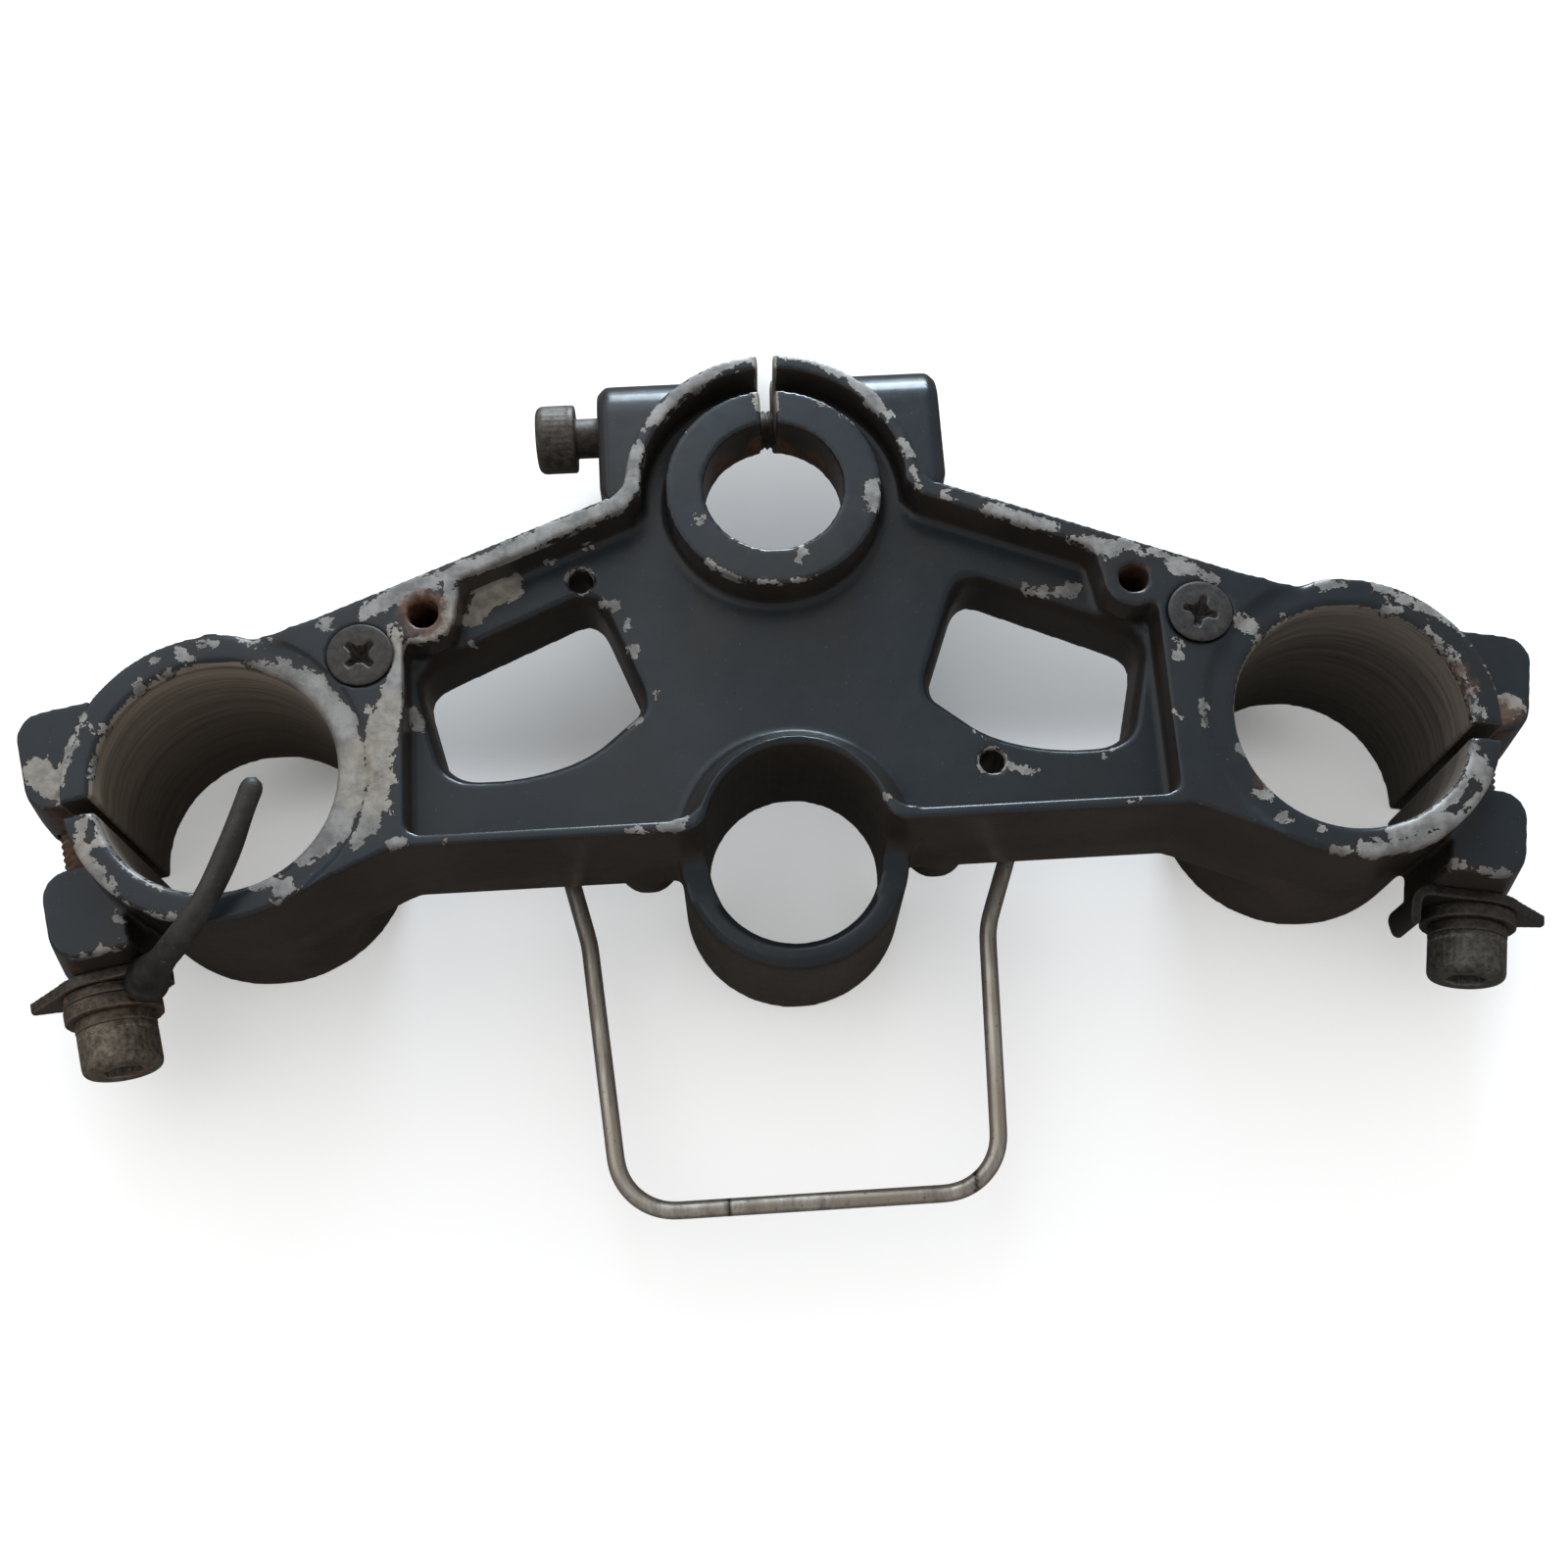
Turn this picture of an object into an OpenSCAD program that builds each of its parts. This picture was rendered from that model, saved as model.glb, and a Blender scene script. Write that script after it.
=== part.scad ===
// Upper triple clamp of a motorcycle fork: one aluminium casting with two fork clamps, a
// split stem clamp, a switch collar at the front, three pinch bolts and a wire cable loop.
// Millimetres. The origin is on the stem axis at the top face, +Z up the stem, +Y to the
// rider, +X to the right. Lengths given as depths count down from the top face.

/* [Fork clamps] */
// Distance between the two fork tube centres
fork_pitch = 185.4; // [182:0.1:192]
// Distance of the fork line in front of the stem axis
fork_offset = 46.5; // [46:0.5:48]
// Bore for the fork tube
fork_bore_d = 39; // [37:0.1:40]
// Wall of the clamp ring
fork_wall = 5.1; // [4.6:0.1:5.4]
// Height of a fork clamp
clamp_h = 43.5; // [42:0.5:48]
// Depth at which the clamp ring steps in
clamp_step = 19.5; // [16:0.5:22]
// How much the lower half of the ring steps in
clamp_step_in = 0.6; // [0.2:0.1:1]
// Depth of the turned face round the bore
face_cut = 0.8; // [0.3:0.1:1.2]
// Angle of the clamp slit, forward of straight out
slit_angle = 11; // [6:1:16]
// Width of the clamp slit
slit_w = 2.4; // [2:0.1:3.4]

/* [Pinch lugs] */
// Distance of the rear lug's facing side from the slit
gap_rear = 4; // [3:0.1:6]
// Distance of the front lug's facing side from the slit
gap_front = 6.6; // [5:0.1:7]
// Distance of both outer lug faces from the slit
lug_end = 21.8; // [20:0.1:23]
// Depth of the lug top
lug_top = 9; // [7:0.5:11]
// Reach of the lug top from the fork centre
lug_reach = 32.1; // [31.5:0.1:33]
// Radius of the lug round its bolt
lug_r = 7.6; // [7.2:0.1:8]
// Radius of the rounded corners of a lug
lug_round = 4.5; // [3:0.5:5]
// Distance of the pinch bolt from the fork centre
bolt_out = 28.5; // [28.2:0.1:29.2]
// Depth of the pinch bolts
bolt_z = 25.7; // [24:0.1:27]

/* [Screws] */
// Nominal diameter of the pinch bolts
pinch_d = 8; // [7:1:8]
// Diameter of a pinch bolt head
pinch_head_d = 13.1; // [12.8:0.1:13.6]
// Height of a pinch bolt head
pinch_head_h = 7.4; // [6.8:0.1:8]
// Nominal diameter of the stem pinch bolt
stem_bolt_d = 7; // [6:1:8]
// Head diameter of the stem pinch bolt
stem_head_d = 12; // [11:0.1:12.6]
// Gap round a bolt in its clear hole
clear_gap = 0.35; // [0.2:0.05:0.5]
// Gap round a bolt in its threaded hole
thread_gap = 0.08; // [0.05:0.01:0.1]
// Nominal diameter of the countersunk screws
top_screw_d = 6; // [5:1:6]
// Head diameter of the countersunk screws
top_head_d = 10.8; // [10.4:0.1:11.2]

/* [Stem clamp] */
// Bore for the steering stem
stem_bore_d = 23.6; // [22:0.1:24]
// Outside of the stem ring
stem_ring_d = 36.6; // [36:0.1:38]
// Outside of the rim round the stem ring
stem_rim_d = 50.4; // [50:0.1:52]
// Wall of that rim
stem_rim_wall = 2.7; // [2.4:0.1:3.2]
// Width of the stem slit
stem_slit_w = 2.6; // [2:0.1:3.4]
// Length of the stem bore
stem_bore_h = 10.5; // [9:0.1:11]
// Distance of the stem pinch bolt behind the axis
stem_bolt_y = 22.4; // [22:0.1:23]
// Depth of the stem pinch bolt
stem_bolt_z = 20; // [19:0.1:20.5]
// Radius of the stem lugs
stem_lug_r = 8.8; // [8.2:0.1:9]
// How far the stem pinch bolt stands off its lug
stem_bolt_out = 4.3; // [2:0.1:6]

/* [Web] */
// Depth of the web round the forks and windows
web_h = 26.5; // [25:0.5:28]
// Depth of the top pocket
pocket_z = 7.5; // [6:0.1:9]
// Thickness of the pocket floor
floor_t = 5.5; // [5:0.1:6.5]
// Front face of the web, in front of the fork line
front_y = 14.2; // [13.8:0.1:14.8]
// Thickness of the front wall
front_wall = 2.1; // [1.8:0.1:2.6]
// Outer side of the pocket, from the middle
pocket_side = 62.5; // [61:0.1:63.5]
// Depth over which the window edges are eased
window_ease = 2.4; // [1.5:0.1:3]
// Radius of the bosses on the rim
boss_r = 5.2; // [4.8:0.1:5.6]
// Thickness of a rib on the underside
rib_t = 3; // [2.4:0.1:4]

/* [Switch collar] */
// Hole in the switch collar
collar_bore_d = 29; // [28:0.1:30]
// Top of the rim round the back of the collar
collar_rim_d = 31.6; // [31:0.1:33]
// Outside of the switch collar
collar_d = 38.4; // [38:0.1:39.4]
// Centre of the collar in front of the fork line
collar_y = 14.6; // [14.2:0.1:15]
// Depth of the collar top
collar_top = 15.5; // [14:0.5:17]
// Depth of the bored part of the collar
collar_bored = 28.5; // [27.5:0.5:30]
// Wall of the skirt below it
skirt_wall = 2.4; // [2:0.1:3]

/* [Cable loop] */
// Diameter of the loop wire
wire_d = 3; // [2.6:0.1:3.6]
// Width of the loop between its wire centres
loop_w = 63.8; // [62:0.1:66]
// Front of the loop, in front of the fork line
loop_front = 70.2; // [66:0.1:74]
// Radius of the loop corners
loop_bend_r = 10; // [8:0.5:12]
// Distance of the loop wire below the web
loop_drop = 5; // [4.4:0.1:6]
// Distance of the loop ends from the middle
loop_end_x = 40; // [38:0.5:42]

/* [Guide plates] */
// Radius of the guide plate round its bolt
plate_r = 8.8; // [8.4:0.1:9.4]
// Thickness of the guide plate
plate_t = 1.9; // [1.5:0.1:2.2]
// Reach of the pointed tab from the bolt
tab_reach = 13.6; // [12.5:0.1:14.5]
// Thickness of the flat washers
washer_t = 2.4; // [2:0.1:2.8]
// Thickness of the lock washers
lock_t = 2; // [1.8:0.1:2.4]
// Thickness of the eye that holds the guide finger
eye_t = 2; // [1.6:0.1:2.4]

/* [Hidden] */
$fn = 48;
// Overlap that lets joined shapes share volume
lap = 0.5;
fork_x = fork_pitch / 2;
fork_r = fork_bore_d / 2;
clamp_r = fork_r + fork_wall;
stem_rim_r = stem_rim_d / 2;
pinch_r = pinch_d / 2;
head_r = pinch_head_d / 2;
floor_z = pocket_z + floor_t;
foot_ease = 1.6;
stem_lug_l = 30;
stem_lug_side = 31.2;
lug_end_ease = 1.6;
stem_foot = stem_bolt_z + stem_lug_r + 3;
top_sink = (top_head_d - top_screw_d) / 2;
recess_r = 0.24 * top_head_d;
recess_z = 0.8 * top_sink;
screw_x = fork_x - 23.4;
screw_y = 19.2;
boss_x = fork_x - 33.7;
boss_y = 26.1;
tap_x = 33.5;
frame_z = web_h - 6.5;
collar_r = collar_d / 2;
switch_x = 25.2;
switch_y = -8.8;
loop_x = loop_w / 2;
loop_z = web_h + loop_drop;
loop_end_y = -6.5;
face_y = collar_y - front_y;
mouth_r = 4.5;
mouth_x = sqrt(pow(collar_bore_d / 2 + mouth_r, 2) - pow(face_y + mouth_r, 2));
gate_angle = 98;
gate_w = 2.3;
lip_ease = 1.2;
steps = 6;

// Points of a curve that leaves p0 towards p1 and arrives at p2
function blend(p0, p1, p2, n = steps) =
  [for (i = [0:n]) let (t = i / n) (1 - t) * (1 - t) * p0 + 2 * t * (1 - t) * p1 + t * t * p2];

// Points of a round stretch about a centre
function arc(c, r, a0, a1, n = steps) =
  [for (i = [0:n]) let (a = a0 + (a1 - a0) * i / n) [c[0] + r * cos(a), c[1] + r * sin(a)]];

// The same points on the other side of the middle plane, in reverse order
function mirrored(pts) = [for (i = [len(pts) - 1:-1:0]) [-pts[i][0], pts[i][1]]];

// Points drawn together or apart about a centre, and moved
function scaled(pts, c, k, move = [0, 0]) = [for (p = pts) c + k * (p - c) + move];

// Unit vector
function unit(v) = v / norm(v);

// Direction of a path at one of its points
function heading(path, i) =
  let (last = len(path) - 1)
  unit(unit(path[min(i + 1, last)] - path[min(i, last - 1)]) + unit(path[max(i, 1)] - path[max(i - 1, 0)]));

// Side directions carried along a path without twist, from a first one
function carried(path, side, i = 0) =
  i == len(path) ? [] :
  let (t = heading(path, i), m = unit(side - (side * t) * t))
  concat([m], carried(path, m, i + 1));

// Rounded corner of a path at b, between its neighbours a and c
function corner(a, b, c, r, n = steps) =
  let (
    u = unit(a - b), v = unit(c - b), half = acos(u * v) / 2, turn = 180 - 2 * half,
    mid = b + unit(u + v) * r / sin(half), w0 = unit(b + u * r / tan(half) - mid),
    w1 = unit(b + v * r / tan(half) - mid)
  )
  [for (i = [0:n]) mid + r * (sin(turn * (1 - i / n)) * w0 + sin(turn * i / n) * w1) / sin(turn)];

// Right half of the web outline, from the stem rim to the fork clamp and along the front
web_right = concat(
  [[0, fork_offset]],
  blend([stem_rim_r - 0.3, fork_offset + 3], [stem_rim_r + 0.2, fork_offset - 0.3], [29.2, 45.3], 4),
  blend([fork_x - 19.7, 27.9], [fork_x - 12.2, 24.6], [fork_x - 5.7, clamp_r - 0.7]),
  [[fork_x, 20]],
  [[fork_x, -20]],
  blend([fork_x - 10.2, 0.7 - clamp_r + 1.6], [fork_x - 18.2, -18.6], [fork_x - 28.4, -front_y])
);

// Right half of the top pocket outline
pocket_right = concat(
  arc([0, fork_offset], stem_rim_r - stem_rim_wall, 85, 0, 12),
  [[24.9, 43.5]],
  [[boss_x - boss_r - 1, 32.1]],
  arc([boss_x, boss_y], boss_r, 178, 300, 6),
  blend([pocket_side, 20.4], [pocket_side, 18], [pocket_side, 16], 2),
  arc([pocket_side - 2.5, front_wall - front_y + 2.5], 2.5, 0, -90, 4),
  blend([21, front_wall - front_y], [16.5, front_wall - front_y], [14.6, 3.2 + front_wall - front_y], 4)
);

// Right half of the collar's mouth: a rounded edge that touches the front face and the bore
mouth_right = concat(
  [[mouth_x, face_y - 1]],
  arc([mouth_x, face_y + mouth_r], mouth_r, -90, atan2(face_y + mouth_r, mouth_x) - 180, 8),
  [[4, 4]]
);

// Outline of the right window
window_mid = [43.5, 15];
window_right = concat(
  blend([24.9, 9.9], [24, 11.6], [24.6, 14], 3),
  blend([29.8, 27.8], [31.4, 31.9], [34.6, 30.9], 4),
  blend([57.6, 20.7], [61.4, 19.1], [60.3, 15], 4),
  blend([57.4, 3.4], [55.6, -0.3], [51, -0.3], 5),
  blend([47, -0.3], [35, 0.6], [29.2, 6.3], 6)
);

// Hollow of the underside, right half
hollow_right = concat(
  [[0, 22]],
  [[26, 41]],
  [[fork_x - 27, 25.6]],
  [[fork_x - 29.5, 12]],
  [[fork_x - 27.5, -front_y + 3.4]],
  [[collar_r, -front_y + 3.4]],
  [[collar_r, 4]],
  [[0, 8]]
);

// Closed round tube along a path with a radius for each of its points
module tube(path, radii, side, around = 14) {
  last = len(path) - 1;
  frames = carried(path, side);
  points = [
    for (i = [0:last], j = [0:around - 1])
      let (t = heading(path, i), a = 360 * j / around)
      path[i] + radii[i] * (cos(a) * frames[i] + sin(a) * cross(t, frames[i]))
  ];
  polyhedron(points, concat(
    [[for (j = [0:around - 1]) j]],
    [[for (j = [around - 1:-1:0]) last * around + j]],
    [
      for (i = [0:last - 1], j = [0:around - 1])
        let (k = (j + 1) % around, a = i * around, b = a + around)
        [a + j, b + j, b + k, a + k]
    ]
  ));
}

// Places the children at the right fork clamp, with X out along the slit
module at_fork() {
  translate([fork_x, -fork_offset, 0])
    rotate([0, 0, -slit_angle])
      children();
}

// Places the children with the fork line as Y zero
module from_forks() {
  translate([0, -fork_offset, 0])
    children();
}

// Repeats the children on the other side
module both_sides() {
  children();
  mirror([1, 0, 0])
    children();
}

// Rounded slice of a lug from the ring out to a reach
module lug_slice(from, reach, z, r) {
  translate([0, 0, z])
    linear_extrude(0.1)
      polygon(concat(
        [[fork_r, from]],
        arc([reach - r, from + r], r, -90, 0, 4),
        arc([reach - r, lug_end - lug_round], r, 0, 90, 4) + [for (i = [0:4]) [0, lug_round - r]],
        [[fork_r, lug_end]]
      ));
}

// One lug: a flat top that slopes out and down to the round foot about the bolt
module lug(from) {
  hull() {
    lug_slice(from, lug_reach, -lug_top - 0.1, lug_round);
    lug_slice(from, lug_reach + 1.4, -bolt_z + 3, lug_round + 1.5);
    translate([bolt_out, from + lug_round + 1, -bolt_z])
      rotate([-90, 0, 0])
        cylinder(r = lug_r - 1, h = lug_end - from - lug_round - 3.5, $fn = 32);
    translate([bolt_out, from + foot_ease, -bolt_z])
      rotate([-90, 0, 0])
        cylinder(r = lug_r - 3, h = lug_end - from - foot_ease, $fn = 32);
    translate([fork_r, from + foot_ease, -bolt_z - lug_r])
      cube([2, lug_end - from - foot_ease, 1]);
  }
}

// Fork clamp ring with its two lugs
module fork_clamp() {
  at_fork() {
    translate([0, 0, -clamp_step])
      cylinder(r = clamp_r, h = clamp_step);
    translate([0, 0, -clamp_h])
      cylinder(r = clamp_r - clamp_step_in, h = clamp_h);
    lug(gap_rear);
    mirror([0, 1, 0])
      lug(gap_front);
  }
}

// Trimmed casting gate on the back of the left ring
module casting_gate() {
  mirror([1, 0, 0])
    at_fork()
      rotate([0, 0, gate_angle])
        translate([clamp_r - 1, -gate_w / 2, -clamp_step])
          cube([1.6, gate_w, clamp_step - face_cut - 0.6]);
}

// Everything that is cut out of one fork clamp
module fork_clamp_cuts() {
  at_fork() {
    translate([0, 0, -clamp_h - 1])
      cylinder(r = fork_r, h = clamp_h + 2, $fn = 72);
    translate([0, 0, -face_cut])
      cylinder(r = clamp_r + 0.3, h = face_cut + 1);
    translate([0, 0, -face_cut - 1])
      cylinder(r1 = fork_r - 0.2, r2 = fork_r + 0.8, h = 1 + 0.01, $fn = 72);
    translate([fork_r - 4, -slit_w / 2, -clamp_h - 1])
      cube([fork_wall + 14, slit_w, clamp_h + 2]);
    translate([bolt_out, -lug_end - 1, -bolt_z])
      rotate([-90, 0, 0])
        cylinder(r = pinch_r + clear_gap, h = lug_end + 1);
    translate([bolt_out, 0, -bolt_z])
      rotate([-90, 0, 0])
        cylinder(r = pinch_r + thread_gap, h = lug_end + 1);
  }
}

// Stem clamp with its rim, lugs and the boss that carries the bolt past the slit
module stem_clamp() {
  translate([0, 0, -web_h])
    cylinder(r = stem_rim_r, h = web_h);
  translate([-stem_lug_l + lug_end_ease, stem_bolt_y, -stem_bolt_z]) {
    stem_lug(stem_lug_l + stem_lug_side - 2 * lug_end_ease, 1);
    mirror([1, 0, 0])
      stem_lug(lug_end_ease, 0.84);
    translate([stem_lug_l + stem_lug_side - 2 * lug_end_ease, 0, 0])
      stem_lug(lug_end_ease, 0.84);
  }
}

// Length of the stem lug along the bolt, round at the back, drawn in by a factor towards its end
module stem_lug(len, k) {
  rotate([90, 0, 90])
    linear_extrude(len, scale = k)
      polygon(concat(
        arc([0, 0], stem_lug_r, -90, 90, 16),
        [[5 - stem_bolt_y, stem_lug_r]],
        [[5 - stem_bolt_y, -stem_lug_r]]
      ));
}

// Relief under the stem ring, between the cheeks that the bolt passes
module stem_relief() {
  difference() {
    translate([0, 0, -stem_foot])
      cylinder(r = stem_rim_r - stem_rim_wall, h = stem_foot - stem_bore_h);
    both_sides()
      translate([13.5, 4, -stem_foot - 1])
        cube([20, 30, stem_foot]);
  }
}

// Bores, slit and bolt hole of the stem clamp
module stem_cuts() {
  translate([0, 0, -stem_foot])
    cylinder(d = stem_bore_d, h = stem_foot + 1, $fn = 72);
  stem_relief();
  translate([-stem_slit_w / 2, 0, -stem_foot])
    cube([stem_slit_w, 50, stem_foot + 1]);
  translate([-stem_lug_l - 1, stem_bolt_y, -stem_bolt_z])
    rotate([0, 90, 0])
      cylinder(d = stem_bolt_d + 2 * clear_gap, h = stem_lug_l + 1);
  translate([0, stem_bolt_y, -stem_bolt_z])
    rotate([0, 90, 0])
      cylinder(d = stem_bolt_d + 2 * thread_gap, h = stem_lug_side + 1);
}

// Pocket in the top face, leaving the stem ring and the collar rim standing
module top_pocket() {
  difference() {
    translate([0, -fork_offset, -pocket_z])
      linear_extrude(pocket_z + 1)
        polygon(concat(pocket_right, mirrored(pocket_right)));
    translate([0, 0, -pocket_z - 1])
      cylinder(d = stem_ring_d, h = pocket_z + 3);
    translate([0, -fork_offset - collar_y, -pocket_z]) {
      cylinder(d1 = collar_d, d2 = collar_rim_d, h = pocket_z);
      translate([0, 0, pocket_z - 0.01])
        cylinder(d = collar_rim_d, h = 2);
    }
  }
}

// Window through the web, with its upper edge eased in two slopes
module window() {
  from_forks() {
    translate([0, 0, -web_h - 1])
      linear_extrude(web_h + 2)
        polygon(window_right);
    translate([window_mid[0], window_mid[1], 0]) {
      translate([0, 0, -pocket_z - window_ease])
        linear_extrude(window_ease + 0.01, scale = 1.06)
          polygon(scaled(window_right, window_mid, 1, -window_mid));
      translate([0, 0, -pocket_z - window_ease * 0.35])
        linear_extrude(window_ease, scale = 1.12)
          polygon(scaled(window_right, window_mid, 1.035, -window_mid));
    }
  }
}

// Wall left standing round the window on the underside
module window_frame() {
  translate([0, 0, -frame_z])
    linear_extrude(frame_z)
      polygon(scaled(window_right, window_mid, 1.17));
}

// Hollow of the underside with its bosses, ribs and window frames left standing
module underside() {
  from_forks()
    difference() {
      translate([0, 0, -web_h - 1])
        linear_extrude(web_h + 1 - floor_z)
          polygon(concat(hollow_right, mirrored(hollow_right)));
      both_sides() {
        window_frame();
        translate([screw_x, screw_y, -18])
          cylinder(r = 6.5, h = 18);
        translate([boss_x, boss_y, -17])
          cylinder(r = boss_r, h = 17);
        translate([switch_x, switch_y, -web_h])
          cylinder(r = 5.8, h = web_h);
        translate([loop_end_x, loop_end_y, -web_h])
          cylinder(r = 4.4, h = web_h);
        translate([46, -12, -web_h + 4])
          cube([rib_t, 14, web_h - 4]);
      }
      translate([-tap_x, fork_offset - 12.1, -20])
        cylinder(r = 5, h = 20);
      translate([tap_x, -2.2, -20])
        cylinder(r = 5, h = 20);
      translate([-rib_t / 2, 0, -web_h + 4])
        cube([rib_t, 30, web_h - 4]);
    }
}

// Solid of the switch collar: ring, front skirt and the bosses beside it
module collar() {
  from_forks() {
    translate([0, -collar_y, -collar_bored])
      cylinder(r = collar_r, h = collar_bored - 0.01);
    intersection() {
      translate([0, -collar_y, -clamp_h])
        cylinder(r = collar_r, h = clamp_h - collar_bored + lap);
      translate([-collar_r - 1, -collar_y - collar_r - 1, -clamp_h])
        cube([2 * collar_r + 2, collar_r + 1, clamp_h]);
    }
    both_sides()
      translate([switch_x, switch_y, -web_h - 6])
        cylinder(r = 5.6, h = 12);
  }
}

// Bore of the collar, its eased lips and the front cut down to the collar top
module collar_cuts() {
  from_forks()
    translate([0, -collar_y, 0]) {
      translate([0, 0, -clamp_h - 1])
        cylinder(d = collar_bore_d, h = clamp_h + 2, $fn = 72);
      translate([0, 0, -clamp_h - 1])
        cylinder(r = collar_r - skirt_wall, h = clamp_h + 1 - collar_bored, $fn = 72);
      translate([0, 0, -0.8])
        cylinder(r1 = collar_bore_d / 2 - 0.01, r2 = collar_bore_d / 2 + 0.8, h = 0.81);
      intersection() {
        translate([0, 0, -collar_top - lip_ease])
          difference() {
            cylinder(r = collar_r + 1, h = lip_ease + 0.01);
            cylinder(r1 = collar_r, r2 = collar_r - lip_ease, h = lip_ease + 0.02);
          }
        translate([-collar_r - 1, -collar_r - 2, -clamp_h])
          cube([2 * collar_r + 2, collar_r - 5, clamp_h]);
      }
      intersection() {
        translate([0, 0, -collar_top - lip_ease])
          cylinder(r1 = collar_bore_d / 2 - 0.01, r2 = collar_bore_d / 2 + lip_ease, h = lip_ease + 0.01);
        translate([-collar_r - 1, -collar_r - 2, -clamp_h])
          cube([2 * collar_r + 2, collar_r - 5, clamp_h]);
      }
      translate([-collar_r - 1, 0, 0])
        rotate([90, 0, 90])
          linear_extrude(2 * collar_r + 2)
            polygon(concat(
              [[face_y, 1]],
              blend([face_y, 6 - collar_top], [face_y, -collar_top], [face_y - 7, -collar_top], 8),
              [[-collar_r - 1, -collar_top]],
              [[-collar_r - 1, 1]]
            ));
      translate([0, 0, 4 - collar_top])
        linear_extrude(collar_top)
          polygon(concat(mouth_right, mirrored(mouth_right)));
    }
}

// Threaded and countersunk holes in the casting
module small_holes() {
  from_forks() {
    both_sides() {
      translate([screw_x, screw_y, -18])
        cylinder(d = top_screw_d + 0.2, h = 20);
      translate([screw_x, screw_y, -top_sink - 0.45])
        cylinder(d1 = top_screw_d + 0.2, d2 = top_head_d + 0.4, h = top_sink + 0.15);
      translate([screw_x, screw_y, -0.31])
        cylinder(d = top_head_d + 0.4, h = 1);
      translate([boss_x, boss_y, -14])
        cylinder(r = 2.5, h = 20, $fn = 32);
      translate([switch_x, switch_y, -web_h - 7])
        cylinder(r = 3.4, h = 17);
      translate([loop_end_x, loop_end_y, -web_h - 1])
        cylinder(r = wire_d / 2 + 0.05, h = 9);
    }
    translate([-tap_x, fork_offset - 12.1, -21])
      cylinder(r = 2.1, h = 20);
    translate([tap_x, -2.2, -21])
      cylinder(r = 2.1, h = 20);
  }
}

module bridge_casting() {
  color("#1d2126")
    difference() {
      union() {
        translate([0, -fork_offset, -web_h])
          linear_extrude(web_h)
            polygon(concat(web_right, mirrored(web_right)));
        both_sides()
          fork_clamp();
        casting_gate();
        stem_clamp();
        collar();
      }
      both_sides() {
        fork_clamp_cuts();
        window();
      }
      top_pocket();
      underside();
      stem_cuts();
      collar_cuts();
      small_holes();
    }
}

// Socket cap screw along +Y with the underside of its head at Y zero
module cap_screw(d, head_d, head_h, len) {
  rotate([-90, 0, 0]) {
    cylinder(d = d, h = len - 1, $fn = 32);
    translate([0, 0, len - 1])
      cylinder(d1 = d, d2 = d - 1.8, h = 1, $fn = 32);
    difference() {
      union() {
        translate([0, 0, -head_h + 0.8])
          cylinder(d = head_d, h = head_h - 0.8);
        translate([0, 0, -head_h])
          cylinder(d1 = head_d - 1.6, d2 = head_d, h = 0.8);
      }
      translate([0, 0, -head_h - 1])
        rotate([0, 0, 30])
          cylinder(d = 0.53 * head_d, h = 5, $fn = 6);
    }
  }
}

// Distance of a bolt head from its lug: plate, washer and lock washer
stack = plate_t + washer_t + lock_t;
grip = 2 * lug_end - 3;

module right_bolt_place() {
  at_fork()
    translate([bolt_out, -lug_end, -bolt_z])
      children();
}

module left_bolt_place() {
  mirror([1, 0, 0])
    right_bolt_place()
      children();
}

module right_pinch_bolt() {
  color("#4b4640")
    right_bolt_place()
      translate([0, -stack, 0])
        cap_screw(pinch_d, pinch_head_d, pinch_head_h, grip + stack);
}

module left_pinch_bolt() {
  color("#4b4640")
    left_bolt_place()
      translate([0, -stack - eye_t, 0])
        cap_screw(pinch_d, pinch_head_d, pinch_head_h, grip + stack + eye_t);
}

module stem_pinch_bolt() {
  color("#4b4640")
    translate([-stem_lug_l - stem_bolt_out, stem_bolt_y, -stem_bolt_z])
      rotate([0, 0, -90])
        cap_screw(stem_bolt_d, stem_head_d, stem_bolt_d, stem_lug_l + stem_bolt_out + 20);
}

// Ring with its axis along Y that ends at Y zero
module ring(r_out, t) {
  rotate([90, 0, 0])
    difference() {
      cylinder(r = r_out, h = t);
      translate([0, 0, -1])
        cylinder(r = pinch_r + 0.3, h = t + 2, $fn = 32);
    }
}

// Flat washer and lock washer, from a distance in front of the lug
module flat_washer(from) {
  translate([0, -from, 0])
    ring(8, washer_t);
}

module lock_washer(from) {
  translate([0, -from, 0])
    difference() {
      ring(6.6, lock_t);
      translate([-0.5, -lock_t - 1, -10])
        cube([1, lock_t + 2, 10]);
    }
}

module right_flat_washer() {
  color("#6a6258")
    right_bolt_place()
      flat_washer(plate_t);
}

module left_flat_washer() {
  color("#6a6258")
    left_bolt_place()
      flat_washer(plate_t + eye_t);
}

module right_lock_washer() {
  color("#5a544c")
    right_bolt_place()
      lock_washer(plate_t + washer_t);
}

module left_lock_washer() {
  color("#5a544c")
    left_bolt_place()
      lock_washer(plate_t + eye_t + washer_t);
}

// Stamped plate with a pointed tab outward and a square wing inward
module guide_plate() {
  rotate([90, 0, 0])
    difference() {
      linear_extrude(plate_t)
        polygon(concat(
          arc([0, 0], plate_r, 38, 100, 6),
          [[-7.6, 8.4]],
          arc([-8.7, 7.2], 1.4, 90, 180, 3),
          arc([-8.1, -2], 2, 180, 215, 3),
          arc([0, 0], plate_r, 220, 332, 10),
          [[tab_reach, -1.7]],
          [[tab_reach, -0.4]]
        ));
      translate([0, 0, -1])
        cylinder(r = pinch_r + 0.3, h = plate_t + 2, $fn = 32);
    }
}

module right_guide_plate() {
  color("#3a3733")
    right_bolt_place()
      guide_plate();
}

module left_guide_plate() {
  color("#3a3733")
    left_bolt_place()
      guide_plate();
}

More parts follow.
